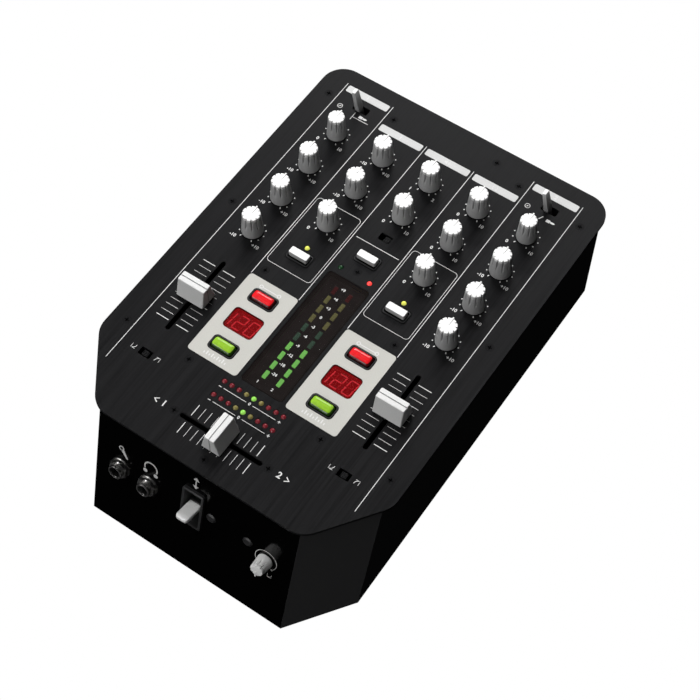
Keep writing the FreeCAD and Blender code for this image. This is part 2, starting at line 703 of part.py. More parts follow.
def front_board():
    low = LEVER_DOWN + LEVER_BEZEL_L / 2
    left = -LEVER_BEZEL_W / 2
    right = CURVE_KNOB_X + FRONT_BOARD_MARGIN
    board = block((left + right) / 2, -LEVER_DOWN, -FRONT_BOARD_DROP - BOARD_T, right - left,
                  2 * (low - LEVER_DOWN), BOARD_T)
    holes = [rod(x, -FRONT_SCREW_DOWN, -FRONT_BOARD_DROP - BOARD_T, SPACER_COLLAR_R + FIT_GAP, BOARD_T)
             for x in FRONT_SCREW_XS]
    return on_front(board.cut(holes))


def rear_board():
    middle = REAR_Y - SHEET_T - FIT_GAP - REAR_BOARD_D / 2
    return block(0, middle, REAR_BOARD_Z, 2 * (SIDE_X - BOARD_SIDE_GAP / 2), REAR_BOARD_D, BOARD_T)


def circuit_boards():
    return [main_board(), front_board(), rear_board()]


def spacer(length, thread_depth):
    # Hexagonal spacer hanging from Z = 0, with a collar in the board below it.
    post = hexagon(0, 0, -length, SPACER_AF, length)
    collar = rod(0, 0, -length - BOARD_T, SPACER_COLLAR_R, BOARD_T)
    return post.fuse(collar).cut(rod(0, 0, -thread_depth, SCREW_R + FIT_GAP, thread_depth))


def board_spacers():
    top = spacer(BOARD_DROP, SCREW_L)
    front = spacer(FRONT_BOARD_DROP - SHEET_T, POT_H / 2 + MOVE_GAP)
    solids = [moved(top, x, y, UNDER_Z) for x, y in BOARD_SCREWS]
    return solids + [on_front(moved(front, x, -FRONT_SCREW_DOWN, -SHEET_T)) for x in FRONT_SCREW_XS]


# Rotary controls

def flatted(radius, flat, z, height, grow):
    # Round bar with one flat, grown by a gap where it is used as a bore.
    bar = rod(0, 0, z, radius + grow, height)
    return bar.cut(block(0, -flat - grow - radius, z, 4 * radius, 2 * radius, height))


def knob_radius(z, height, base_r, top_r):
    rise = (z - KNOB_LIFT - KNOB_RIM_H) / (height - KNOB_LIFT - KNOB_RIM_H)
    return base_r + (top_r - base_r) * rise


def flutes(height, base_r, top_r):
    start = height * FLUTE_START_SHARE
    foot = Vector(0, knob_radius(start, height, base_r, top_r) + FLUTE_R, start)
    head = Vector(0, top_r - FLUTE_DEPTH + FLUTE_R, height)
    along = head - foot
    cutter = Part.makeCylinder(FLUTE_R, 1.3 * along.Length, foot - along * 0.1, along)
    return [turned_about(cutter, (0, 0, 0), (0, 0, 1), i * 360 / FLUTES) for i in range(1, FLUTES)]


def knob(height, base_r, top_r, shaft_r, flat, grip, shaft_drop, hollow):
    # Fluted moulding, pressed-in cap with a raised pointer, and the flatted shaft that carries both.
    # Z = 0 is the face that the knob turns on, and the pointer looks along +Y.
    seam = height - KNOB_CAP_H
    seam_r = knob_radius(seam, height, base_r, top_r)
    hollow_top = KNOB_LIFT + (height - KNOB_LIFT) * KNOB_HOLLOW_SHARE
    hollow_r = knob_radius(hollow_top, height, base_r, top_r) - KNOB_WALL
    hub_r = shaft_r + KNOB_HUB_WALL
    cutters = flutes(height, base_r, top_r)
    rim = KNOB_LIFT + KNOB_RIM_H
    body = turned([(0, KNOB_LIFT), (base_r, KNOB_LIFT), (base_r, rim), (seam_r, seam), (0, seam)])
    cuts = [flatted(shaft_r, flat, KNOB_LIFT, grip, RUN_GAP),
            rod(0, 0, seam - CAP_PEG_H - SEAT_GAP, CAP_PEG_R + RUN_GAP, CAP_PEG_H + SEAT_GAP)]
    if hollow:
        cuts.append(turned([(hub_r, KNOB_LIFT), (base_r - KNOB_WALL, KNOB_LIFT), (hollow_r, hollow_top),
                            (hub_r, hollow_top)]))
    body = body.cut(cuts + cutters)
    edge = 0.4
    crown = turned([(0, seam), (seam_r, seam), (top_r, height - edge), (top_r - edge, height), (0, height)])
    rib_l = top_r + POINTER_OVERHANG
    rib = block(0, rib_l / 2, seam, POINTER_W, rib_l, KNOB_CAP_H + POINTER_H)
    peg = rod(0, 0, seam - CAP_PEG_H, CAP_PEG_R, CAP_PEG_H)
    cap = crown.cut(cutters).fuse([rib, peg]).removeSplitter()
    shaft = flatted(shaft_r, flat, KNOB_LIFT, grip - SEAT_GAP, 0.0)
    shaft = shaft.fuse(rod(0, 0, -shaft_drop, shaft_r, shaft_drop + KNOB_LIFT)).removeSplitter()
    return [body, cap, shaft]


TOP_SHAFT_DROP = TOP_Z - BOARD_Z - POT_FLOOR - MOVE_GAP
FRONT_SHAFT_DROP = FRONT_BOARD_DROP - POT_FLOOR - MOVE_GAP


def top_knobs():
    plain = knob(KNOB_H, KNOB_BASE_R, KNOB_TOP_R, SHAFT_R, SHAFT_FLAT, SHAFT_GRIP, TOP_SHAFT_DROP, True)
    slim = knob(KNOB_H, GAIN_BASE_R, GAIN_TOP_R, SHAFT_R, SHAFT_FLAT, SHAFT_GRIP, TOP_SHAFT_DROP, True)
    parts = {}
    for name, x, y in KNOBS:
        pieces = slim if name.endswith("gain") else plain
        parts["knob_" + name] = [moved(piece, x, y, TOP_Z) for piece in pieces]
    return parts


def curve_knob():
    pieces = knob(CURVE_KNOB_H, CURVE_KNOB_BASE_R, CURVE_KNOB_TOP_R, CURVE_SHAFT_R, CURVE_SHAFT_FLAT,
                  CURVE_SHAFT_GRIP, FRONT_SHAFT_DROP, False)
    return [on_front(moved(piece, CURVE_KNOB_X, -JACK_DOWN, 0)) for piece in pieces]


def potentiometer(drop, bush_top, bush_r, shaft_r):
    # Square body standing on its board at Z = -drop, with a bush round the shaft.
    body = block(0, 0, -drop, POT_L, POT_W, POT_H)
    bush = rod(0, 0, -drop + POT_H, bush_r, drop - POT_H + bush_top)
    bore = rod(0, 0, -drop + POT_FLOOR, shaft_r + RUN_GAP, drop + bush_top)
    return body.fuse(bush).cut(bore)


def pot_bodies():
    top = potentiometer(TOP_Z - BOARD_Z, 0.0, BUSH_R, SHAFT_R)
    solids = [moved(top, x, y, TOP_Z) for name, x, y in KNOBS]
    front = potentiometer(FRONT_BOARD_DROP, 0.0, CURVE_BUSH_R, CURVE_SHAFT_R)
    return solids + [on_front(moved(front, CURVE_KNOB_X, -JACK_DOWN, 0))]


# Faders, drawn along X with Z = 0 on top of the frame

def fader_frame():
    cavity_w = FADER_W - 2 * FADER_WALL
    cavity_h = FADER_H - 2 * FADER_WALL
    frame = block(0, 0, -FADER_H, FADER_FRAME_L, FADER_W, FADER_H)
    rail_l = FADER_CAVITY_L + 2 * RAIL_SEAT
    cuts = [block(0, 0, -FADER_H + FADER_WALL, FADER_CAVITY_L, cavity_w, cavity_h),
            block(0, 0, -FADER_WALL, FADER_CAVITY_L, SLOT_W, FADER_WALL),
            sideways(0, 0, -FADER_H / 2, RAIL_R + RUN_GAP, rail_l + 2 * SEAT_GAP)]
    cuts += [rod(sx * FADER_SCREW_X, 0, -FADER_H, SCREW_R + FIT_GAP, FADER_H) for sx in (-1, 1)]
    rail = sideways(0, 0, -FADER_H / 2, RAIL_R, rail_l)
    return [frame.cut(cuts), rail]


def fader_carriage(stem_top):
    slide_w = FADER_W - 2 * FADER_WALL - 2 * MOVE_GAP
    slide_h = FADER_H - 2 * FADER_WALL - 2 * MOVE_GAP
    slide = block(0, 0, -FADER_H + FADER_WALL + MOVE_GAP, CARRIAGE_L, slide_w, slide_h)
    stem_foot = -FADER_WALL - MOVE_GAP
    stem = block(0, 0, stem_foot, STEM_L, STEM_T, stem_top - stem_foot)
    return slide.fuse(stem).cut(sideways(0, 0, -FADER_H / 2, RAIL_R + RUN_GAP, CARRIAGE_L)).removeSplitter()


def fader_cap():
    # Z = 0 on the panel: a hollow wedge with a groove across its top and a boss for the stem.
    outer = tapered(0, 0, (CAP_LIFT, CAP_BASE_L, CAP_BASE_W, CAP_CORNER_R),
                    (CAP_H, CAP_TOP_L, CAP_TOP_W, CAP_CORNER_R))
    roof = CAP_H - CAP_ROOF
    share = (roof - CAP_LIFT) / (CAP_H - CAP_LIFT)
    roof_l = CAP_BASE_L + (CAP_TOP_L - CAP_BASE_L) * share - 2 * CAP_WALL
    roof_w = CAP_BASE_W + (CAP_TOP_W - CAP_BASE_W) * share - 2 * CAP_WALL
    hollow = tapered(0, 0, (CAP_LIFT, CAP_BASE_L - 2 * CAP_WALL, CAP_BASE_W - 2 * CAP_WALL, 0),
                     (roof, roof_l, roof_w, 0))
    boss_l = STEM_L + 2 * CAP_BOSS_WALL
    boss_w = STEM_T + 2 * CAP_BOSS_WALL
    boss = outer.common(block(0, 0, CAP_LIFT, boss_l, boss_w, CAP_H - CAP_LIFT))
    grip = block(0, 0, CAP_LIFT, STEM_L + 2 * RUN_GAP, STEM_T + 2 * RUN_GAP, STEM_GRIP + SEAT_GAP)
    groove = block(0, 0, CAP_H - CAP_GROOVE_DEPTH, CAP_GROOVE_W, 2 * CAP_BASE_W, CAP_GROOVE_DEPTH)
    return outer.cut(hollow).fuse(boss).cut([grip, groove]).removeSplitter()


CHANNEL_FRAME_Z = BOARD_Z + FADER_H
FADER_PLACES = (
    ("ch1", -OUTER_X, FADER_Y, CHANNEL_FRAME_Z, 90),
    ("ch2", OUTER_X, FADER_Y, CHANNEL_FRAME_Z, 90),
    ("cross", 0.0, CROSS_Y, UNDER_Z, 0),
)


def fader_frames():
    solids = []
    for name, x, y, z, angle in FADER_PLACES:
        solids += [moved(turned_about(s, (0, 0, 0), (0, 0, 1), angle), x, y, z) for s in fader_frame()]
    return solids


def faders():
    cap = fader_cap()
    parts = {}
    for name, x, y, z, angle in FADER_PLACES:
        carriage = fader_carriage(TOP_Z + CAP_LIFT + STEM_GRIP - z)
        parts["fader_cap_" + name] = moved(turned_about(cap, (0, 0, 0), (0, 0, 1), angle), x, y, TOP_Z)
        parts["fader_carriage_" + name] = moved(turned_about(carriage, (0, 0, 0), (0, 0, 1), angle), x, y, z)
    return parts


# Toggles, drawn upright with Z = 0 on the panel's underside

def toggle_body():
    height = BOARD_DROP - TOGGLE_BODY_DROP
    body = block(0, 0, -BOARD_DROP, TOGGLE_BODY_L, TOGGLE_BODY_W, height)
    well_z = -TOGGLE_PIVOT_DROP - TOGGLE_TAIL - MOVE_GAP
    well = block(0, 0, well_z, TOGGLE_SLOT_L, TOGGLE_ROOT_W + 2 * MOVE_GAP, -well_z)
    pin = rearward(0, -TOGGLE_BODY_W / 2, -TOGGLE_PIVOT_DROP, TOGGLE_PIN_R, TOGGLE_BODY_W)
    return body.cut(well).fuse(pin).removeSplitter()


def toggle_lever():
    neck = PANEL_T + MOVE_GAP
    tip = PANEL_T + TOGGLE_H
    tail = -TOGGLE_PIVOT_DROP - TOGGLE_TAIL
    blade = block(0, 0, tail, TOGGLE_ROOT_T, TOGGLE_ROOT_W, neck - tail)
    bat = tapered(0, 0, (neck, TOGGLE_ROOT_T, TOGGLE_ROOT_W, TOGGLE_EDGE_R),
                  (tip, TOGGLE_TIP_T, TOGGLE_TIP_W, TOGGLE_EDGE_R))
    eye = rearward(0, -TOGGLE_ROOT_W, -TOGGLE_PIVOT_DROP, TOGGLE_PIN_R + RUN_GAP, 2 * TOGGLE_ROOT_W)
    lever = blade.fuse(bat).cut(eye)
    return turned_about(lever, (0, 0, -TOGGLE_PIVOT_DROP), (0, 1, 0), -TOGGLE_TILT)


def toggle_bodies():
    return [moved(toggle_body(), x, TOGGLE_Y, UNDER_Z) for x in TOGGLE_XS]


def toggle_levers():
    lever = toggle_lever()
    return {"toggle_ch1": moved(lever, TOGGLE_XS[0], TOGGLE_Y, UNDER_Z),
            "toggle_ch2": moved(lever, TOGGLE_XS[1], TOGGLE_Y, UNDER_Z)}


# Push keys, drawn with Z = 0 on the panel's underside

def key_bezel(length, width, radius, key_l, key_w, key_r):
    plug = oblong(0, 0, 0, length, width, PANEL_T + BEZEL_PROUD, radius)
    lip = oblong(0, 0, -BEZEL_LIP_T, length + 2 * BEZEL_LIP, width + 2 * BEZEL_LIP, BEZEL_LIP_T,
                 radius + BEZEL_LIP)
    hole_l = key_l + 2 * MOVE_GAP
    hole_w = key_w + 2 * MOVE_GAP
    hole = oblong(0, 0, -BEZEL_LIP_T, hole_l, hole_w, BEZEL_LIP_T, key_r + MOVE_GAP)
    mouth_l = length - 2 * BEZEL_RIM
    mouth_w = width - 2 * BEZEL_RIM
    well = tapered(0, 0, (0, hole_l, hole_w, key_r + MOVE_GAP),
                   (PANEL_T + BEZEL_PROUD, mouth_l, mouth_w, radius - BEZEL_RIM))
    return plug.fuse(lip).cut([hole, well])


def push_key(length, width, radius, draft, proud):
    collar_z = -BEZEL_LIP_T - SEAT_GAP - KEY_COLLAR_T
    crown_z = PANEL_T + proud
    shank = oblong(0, 0, collar_z, length, width, PANEL_T - collar_z, radius)
    cap = tapered(0, 0, (PANEL_T, length, width, radius),
                  (crown_z, length - 2 * draft, width - 2 * draft, radius - draft / 2))
    rim = [edge for edge in cap.Edges if abs(edge.BoundBox.ZMin - crown_z) < 1e-6]
    cap = cap.makeFillet(KEY_CROWN_R, rim)
    collar = oblong(0, 0, collar_z, length + 2 * KEY_COLLAR, width + 2 * KEY_COLLAR, KEY_COLLAR_T, radius)
    foot = -BOARD_DROP + TACT_H - PLUNGER_GRIP
    plunger = rod(0, 0, foot, PLUNGER_R, collar_z - foot)
    return cap.fuse([shank, collar, plunger]).removeSplitter()


def key_switch():
    floor = TACT_H - PLUNGER_GRIP - KEY_TRAVEL - MOVE_GAP
    body = block(0, 0, -BOARD_DROP, TACT_L, TACT_L, TACT_H)
    return body.cut(rod(0, 0, -BOARD_DROP + floor, PLUNGER_R + RUN_GAP, TACT_H))


def key_bezels():
    small = key_bezel(KEY_BEZEL_L, KEY_BEZEL_W, KEY_BEZEL_R, KEY_L, KEY_W, KEY_R)
    large = key_bezel(LAMP_BEZEL_L, LAMP_BEZEL_W, LAMP_BEZEL_R, LAMP_KEY_L, LAMP_KEY_W, LAMP_KEY_R)
    solids = [moved(small, x, y, UNDER_Z) for name, x, y in WHITE_KEYS]
    return solids + [moved(large, x, y, UNDER_Z) for name, x, y in LAMP_KEYS]


def push_keys():
    small = push_key(KEY_L, KEY_W, KEY_R, KEY_DRAFT, KEY_PROUD)
    large = push_key(LAMP_KEY_L, LAMP_KEY_W, LAMP_KEY_R, LAMP_KEY_DRAFT, LAMP_KEY_PROUD)
    parts = {"key_" + name: moved(small, x, y, UNDER_Z) for name, x, y in WHITE_KEYS}
    parts.update({"key_" + name: moved(large, x, y, UNDER_Z) for name, x, y in LAMP_KEYS})
    return parts


def key_switches():
    return [moved(key_switch(), x, y, UNDER_Z) for name, x, y in WHITE_KEYS + LAMP_KEYS]


# Slide switches, drawn with Z = 0 on the panel's underside

def slide_foot():
    return SLIDE_NUB_L + 2 * SLIDE_FOOT_LIP, SLIDE_NUB_W + 2 * SLIDE_FOOT_LIP


def slide_body():
    foot_l, foot_w = slide_foot()
    run_l = foot_l + SLIDE_TRAVEL + 2 * MOVE_GAP
    mouth_l = SLIDE_NUB_L + SLIDE_TRAVEL + 2 * MOVE_GAP
    body = block(0, 0, -BOARD_DROP, run_l + 2 * SLIDE_WALL, SLIDE_BODY_W, SLIDE_BODY_H)
    run_z = -BOARD_DROP + SLIDE_BODY_H - SLIDE_WALL - SLIDE_FOOT_H - 2 * MOVE_GAP
    run = block(0, 0, run_z, run_l, foot_w + 2 * MOVE_GAP, SLIDE_FOOT_H + 2 * MOVE_GAP)
    mouth_z = -BOARD_DROP + SLIDE_BODY_H - SLIDE_WALL
    mouth = block(0, 0, mouth_z, mouth_l, SLIDE_NUB_W + 2 * MOVE_GAP, SLIDE_WALL)
    return body.cut([run, mouth])


def slide_nub(shift):
    foot_l, foot_w = slide_foot()
    foot_z = -BOARD_DROP + SLIDE_BODY_H - SLIDE_WALL - SLIDE_FOOT_H - MOVE_GAP
    foot = block(shift, 0, foot_z, foot_l, foot_w, SLIDE_FOOT_H)
    nub = block(shift, 0, foot_z, SLIDE_NUB_L, SLIDE_NUB_W, PANEL_T - SLIDE_NUB_DROP - foot_z)
    return foot.fuse(nub).removeSplitter()


def slide_bodies():
    return [moved(slide_body(), x, y, UNDER_Z) for name, x, y, shift in SLIDES]


def slide_nubs():
    return {"slide_" + name: moved(slide_nub(shift), x, y, UNDER_Z) for name, x, y, shift in SLIDES}


# Meter, displays and lamps

METER_LENS_TOP = TOP_Z - METER_LENS_DROP
METER_LENS_FOOT = METER_LENS_TOP - METER_LENS_T


def bar_places():
    first = METER_Y + METER_L / 2 - METER_FIRST
    return [(row, side * BAR_X, first - row * METER_PITCH) for row in range(METER_ROWS) for side in (-1, 1)]


def light_bar(x, y):
    return block(x, y, BOARD_Z, BAR_W, BAR_L, METER_LENS_FOOT - MOVE_GAP - BOARD_Z)


def meter_window():
    plate = oblong(0, METER_Y, METER_LENS_FOOT, METER_W - 2 * FIT_GAP, METER_L - 2 * FIT_GAP, METER_LENS_T,
                   METER_R - FIT_GAP)
    lip_foot = METER_LENS_FOOT - METER_LIP_T
    lip = oblong(0, METER_Y, lip_foot, METER_W + 2 * METER_LIP, METER_L + 2 * METER_LIP, UNDER_Z - lip_foot,
                 METER_R)
    inner = oblong(0, METER_Y, lip_foot, METER_W - 2 * METER_LIP, METER_L - 2 * METER_LIP,
                   METER_LENS_FOOT - lip_foot, METER_R / 2)
    return plate.fuse(lip).cut(inner).removeSplitter()


def meter_baffle():
    inset = METER_LIP + BAFFLE_INSET
    height = METER_LENS_FOOT - METER_LIP_T - MOVE_GAP - BOARD_Z
    body = block(0, METER_Y, BOARD_Z, METER_W - 2 * inset, METER_L - 2 * inset, height)
    return body.cut([block(x, y, BOARD_Z, BAR_W + 2 * FIT_GAP, BAR_L + 2 * FIT_GAP, height)
                     for row, x, y in bar_places()])


def bar_colour(row):
    if row == 0:
        return "red"
    return "yellow" if row < 4 else "green"


def lamp_colour(index):
    # One row of lamps: green in the middle, yellow either side, red outside.
    away = abs(index - (LAMPS_PER_ROW - 1) // 2)
    if away == 0:
        return "green"
    return "yellow" if away == 1 else "red"


def round_lamp(x, y):
    neck = TOP_Z + LAMP_PROUD - LAMP_R
    spacer_top = UNDER_Z - MOVE_GAP
    tube = rod(0, 0, BOARD_Z, LAMP_SPACER_R, spacer_top - BOARD_Z)
    stalk = rod(0, 0, spacer_top, LAMP_R, neck - spacer_top)
    dome = Part.makeSphere(LAMP_R, Vector(0, 0, neck), Vector(0, 0, 1), 0, 90, 360)
    return moved(tube.fuse([stalk, dome]).removeSplitter(), x, y, 0)


def lamps_of(colour):
    solids = [light_bar(x, y) for row, x, y in bar_places() if bar_colour(row) == colour]
    for y in LAMP_ROW_YS:
        solids += [round_lamp(x, y) for i, x in enumerate(LAMP_ROW_XS) if lamp_colour(i) == colour]
    if colour == "yellow":
        solids += [round_lamp(sx * COLUMN_PITCH, KEY_LAMP_Y) for sx in (-1, 1)]
    if colour == "green":
        solids.append(round_lamp(-CENTRE_LAMP_X, KEY_LAMP_Y))
    if colour == "red":
        solids.append(round_lamp(CENTRE_LAMP_X, KEY_LAMP_Y))
    return solids


def tempo_displays():
    solids = []
    lens_top = TOP_Z - DISPLAY_LENS_DROP
    lens_foot = lens_top - DISPLAY_LENS_T
    length = DISPLAY_L - 2 * FIT_GAP
    width = DISPLAY_W - 2 * FIT_GAP
    for x in DISPLAY_XS:
        solids.append(oblong(x, FADER_Y, BOARD_Z, length, width, lens_foot - BOARD_Z, DISPLAY_R - FIT_GAP))
        solids.append(oblong(x, FADER_Y, lens_foot, length, width, DISPLAY_LENS_T, DISPLAY_R - FIT_GAP))
    return solids


# Front sockets and the reverse lever, drawn with X across the face, Y up it and Z out of it

def jack_sockets():
    solids = []
    for x in JACK_XS:
        body = block(x, -JACK_DOWN, -SHEET_T - JACK_BODY_L, JACK_BODY_W, JACK_BODY_W, JACK_BODY_L)
        bush = rod(x, -JACK_DOWN, -SHEET_T, JACK_BUSH_R, SHEET_T + JACK_PROUD)
        bore = rod(x, -JACK_DOWN, JACK_PROUD - JACK_DEPTH, JACK_BORE_R, JACK_DEPTH)
        solids.append(on_front(body.fuse(bush).cut(bore)))
    return solids


def lever_bezel():
    well_w = LEVER_BEZEL_W - 2 * LEVER_BEZEL_LIP
    well_l = LEVER_BEZEL_L - 2 * LEVER_BEZEL_LIP
    flange = oblong(0, -LEVER_DOWN, 0, LEVER_BEZEL_W, LEVER_BEZEL_L, LEVER_BEZEL_T,
                    LEVER_BEZEL_R)
    walls = block(0, -LEVER_DOWN, -FRONT_BOARD_DROP, well_w, well_l, FRONT_BOARD_DROP)
    inner_w = well_w - 2 * LEVER_WELL_WALL
    inner_l = well_l - 2 * LEVER_WELL_WALL
    hole = block(0, -LEVER_DOWN, -FRONT_BOARD_DROP, inner_w, inner_l, FRONT_BOARD_DROP + LEVER_BEZEL_T)
    pin = sideways(0, -LEVER_DOWN, -LEVER_PIVOT, LEVER_PIN_R, well_w - LEVER_WELL_WALL)
    return on_front(flange.fuse(walls).cut(hole).fuse(pin).removeSplitter())


def reverse_lever():
    tip_r = LEVER_TIP_T / 2
    tip_z = LEVER_H - tip_r
    root_r = LEVER_ROOT_T / 2
    left = -LEVER_DOWN - root_r
    right = -LEVER_DOWN + root_r
    edges = [Part.makeLine(Vector(0, left, -LEVER_PIVOT), Vector(0, -LEVER_DOWN - tip_r, tip_z)),
             Part.Arc(Vector(0, -LEVER_DOWN - tip_r, tip_z), Vector(0, -LEVER_DOWN, LEVER_H),
                      Vector(0, -LEVER_DOWN + tip_r, tip_z)).toShape(),
             Part.makeLine(Vector(0, -LEVER_DOWN + tip_r, tip_z), Vector(0, right, -LEVER_PIVOT)),
             Part.makeLine(Vector(0, right, -LEVER_PIVOT), Vector(0, left, -LEVER_PIVOT))]
    paddle = moved(Part.Face(Part.Wire(edges)).extrude(Vector(LEVER_W, 0, 0)), -LEVER_W / 2, 0, 0)
    hub = sideways(0, -LEVER_DOWN, -LEVER_PIVOT, LEVER_HUB_R, LEVER_W)
    eye = sideways(0, -LEVER_DOWN, -LEVER_PIVOT, LEVER_PIN_R + RUN_GAP, LEVER_W)
    return on_front(paddle.fuse(hub).cut(eye).removeSplitter())


# Rear sockets and the rocker switch

def rca_jacks():
    solids = []
    inner = REAR_Y - SHEET_T
    core_r = RCA_SLEEVE_R - RCA_SLEEVE_T - RUN_GAP
    for x in RCA_XS:
        body = block(x, inner - RCA_BLOCK_D / 2, RCA_Z - RCA_BLOCK_H / 2, RCA_BLOCK_W, RCA_BLOCK_D,
                     RCA_BLOCK_H)
        cores = []
        bores = []
        for side in (-1, 1):
            z = RCA_Z + side * RCA_STACK / 2
            cores.append(rearward(x, inner, z, core_r, SHEET_T + RCA_PROUD))
            bores.append(rearward(x, REAR_Y + RCA_PROUD - RCA_BORE, z, RCA_PIN_R, RCA_BORE))
        solids.append(body.fuse(cores).cut(bores))
    return solids


def rca_sleeves():
    solids = []
    inner = REAR_Y - SHEET_T
    for x in RCA_XS:
        for side in (-1, 1):
            z = RCA_Z + side * RCA_STACK / 2
            tube = rearward(x, inner, z, RCA_SLEEVE_R, SHEET_T + RCA_PROUD)
            solids.append(tube.cut(rearward(x, inner, z, RCA_SLEEVE_R - RCA_SLEEVE_T, SHEET_T + RCA_PROUD)))
    return solids


def ground_post():
    # Stud clamped through the wall between an inner washer and a round thumb nut.
    inner = REAR_Y - SHEET_T
    stud = rearward(POST_X, inner - WASHER_T, RCA_Z, POST_R, WASHER_T + SHEET_T + POST_PROUD)
    washer = rearward(POST_X, inner - WASHER_T, RCA_Z, POST_NUT_R, WASHER_T)
    nut = rearward(POST_X, REAR_Y, RCA_Z, POST_NUT_R, POST_NUT_T)
    grooves = [turned_about(rearward(POST_X + POST_NUT_R, REAR_Y, RCA_Z, POST_NUT_R * 0.12, POST_NUT_T),
                            (POST_X, REAR_Y, RCA_Z), (0, 1, 0), i * 30) for i in range(12)]
    nut = nut.cut(grooves + [rearward(POST_X, REAR_Y, RCA_Z, POST_R + RUN_GAP, POST_NUT_T)])
    return [stud.fuse(washer).removeSplitter(), nut]


def usb_socket():
    # Square shell with its two upper corners cut, round a fixed tongue.
    def shell_face(y, inset):
        half = USB_W / 2 - inset
        low = RCA_Z - USB_H / 2 + inset
        high = RCA_Z + USB_H / 2 - inset
        points = [(-half, low), (half, low), (half, high - USB_CORNER), (half - USB_CORNER, high),
                  (USB_CORNER - half, high), (-half, high - USB_CORNER)]
        return Part.Face(Part.makePolygon([Vector(USB_X + x, y, z) for x, z in points + points[:1]]))

    front = REAR_Y + FIT_GAP
    outer = shell_face(front - USB_D, 0).extrude(Vector(0, USB_D, 0))
    hollow = shell_face(front - USB_D + USB_FLOOR, USB_WALL).extrude(Vector(0, USB_D - USB_FLOOR, 0))
    tongue = block(USB_X, front - USB_D / 2 - USB_WALL / 2, RCA_Z - USB_TONGUE_H / 2, USB_TONGUE_W,
                   USB_D - USB_WALL, USB_TONGUE_H)
    leg_foot = REAR_BOARD_Z + BOARD_T
    leg_h = RCA_Z - USB_H / 2 - leg_foot
    leg = block(USB_X, front - USB_D + USB_FLOOR, leg_foot, USB_W - 2 * USB_WALL, USB_FLOOR, leg_h)
    return outer.cut(hollow).fuse([tongue, leg]).removeSplitter()


def power_inlet():
    inner = REAR_Y - SHEET_T
    foot = REAR_BOARD_Z + BOARD_T
    body_h = RCA_Z + INLET_BODY_W / 2 - foot
    body = block(INLET_X, inner - INLET_D / 2, foot, INLET_BODY_W, INLET_D, body_h)
    collar = rearward(INLET_X, inner, RCA_Z, INLET_R, SHEET_T + INLET_PROUD)
    bore = rearward(INLET_X, inner - INLET_D / 2, RCA_Z, INLET_BORE_R, INLET_D / 2 + SHEET_T + INLET_PROUD)
    pin = rearward(INLET_X, inner - INLET_D / 2, RCA_Z, INLET_PIN_R, INLET_D / 2 + SHEET_T)
    return body.fuse(collar).cut(bore).fuse(pin).removeSplitter()


def rocker_well_w():
    return ROCKER_W + 2 * MOVE_GAP + 2 * ROCKER_WALL


def rocker_well_h():
    return 2 * (ROCKER_R + MOVE_GAP + ROCKER_WALL)


def rocker_frame():
    inner_w = ROCKER_W + 2 * MOVE_GAP
    inner_h = 2 * (ROCKER_R + MOVE_GAP)
    low = RCA_Z - rocker_well_h() / 2
    walls = block(ROCKER_X, REAR_Y - ROCKER_DEPTH / 2, low, rocker_well_w(), ROCKER_DEPTH, rocker_well_h())
    flange_w = rocker_well_w() + 2 * ROCKER_FLANGE
    flange_h = rocker_well_h() + 2 * ROCKER_FLANGE
    flange_y = REAR_Y + ROCKER_FLANGE_T / 2
    flange = block(ROCKER_X, flange_y, low - ROCKER_FLANGE, flange_w, ROCKER_FLANGE_T, flange_h)
    mouth_d = ROCKER_DEPTH - ROCKER_WALL + ROCKER_FLANGE_T
    mouth_y = REAR_Y + ROCKER_FLANGE_T - mouth_d / 2
    mouth = block(ROCKER_X, mouth_y, low + ROCKER_WALL, inner_w, mouth_d, inner_h)
    eye_l = inner_w + 2 * (ROCKER_PIN_L + MOVE_GAP)
    eye = sideways(ROCKER_X, rocker_pivot_y(), RCA_Z, ROCKER_PIN_R + RUN_GAP, eye_l)
    return walls.fuse(flange).cut([mouth, eye]).removeSplitter()


def rocker_pivot_y():
    return REAR_Y + ROCKER_FLANGE_T - ROCKER_VALLEY


def power_rocker():
    # Two flat halves meeting in a shallow valley, with round ends about the pivot and a stub each side.
    pivot_y = rocker_pivot_y()

    def at(angle):
        turn = math.radians(angle)
        return Vector(0, pivot_y + ROCKER_R * math.sin(turn), RCA_Z + ROCKER_R * math.cos(turn))

    half = (ROCKER_FLANK + ROCKER_BROW) / 2
    valley = Vector(0, pivot_y + ROCKER_VALLEY, RCA_Z)
    upper = (at(ROCKER_FLANK), at(half), at(ROCKER_BROW))
    lower = (at(180 - ROCKER_BROW), at(180 - half), at(180 - ROCKER_FLANK))
    edges = [Part.Arc(*upper).toShape(), Part.makeLine(upper[2], valley), Part.makeLine(valley, lower[0]),
             Part.Arc(*lower).toShape(), Part.makeLine(lower[2], upper[0])]
    body = Part.Face(Part.Wire(edges)).extrude(Vector(ROCKER_W, 0, 0))
    body = moved(body, ROCKER_X - ROCKER_W / 2, 0, 0)
    stubs = sideways(ROCKER_X, pivot_y, RCA_Z, ROCKER_PIN_R, ROCKER_W + 2 * (MOVE_GAP + ROCKER_PIN_L))
    rocker = body.fuse(stubs).removeSplitter()
    return turned_about(rocker, (ROCKER_X, pivot_y, RCA_Z), (1, 0, 0), ROCKER_TILT)


def rear_terminals():
    return ground_post() + [usb_socket(), power_inlet(), rocker_frame()]


# The whole

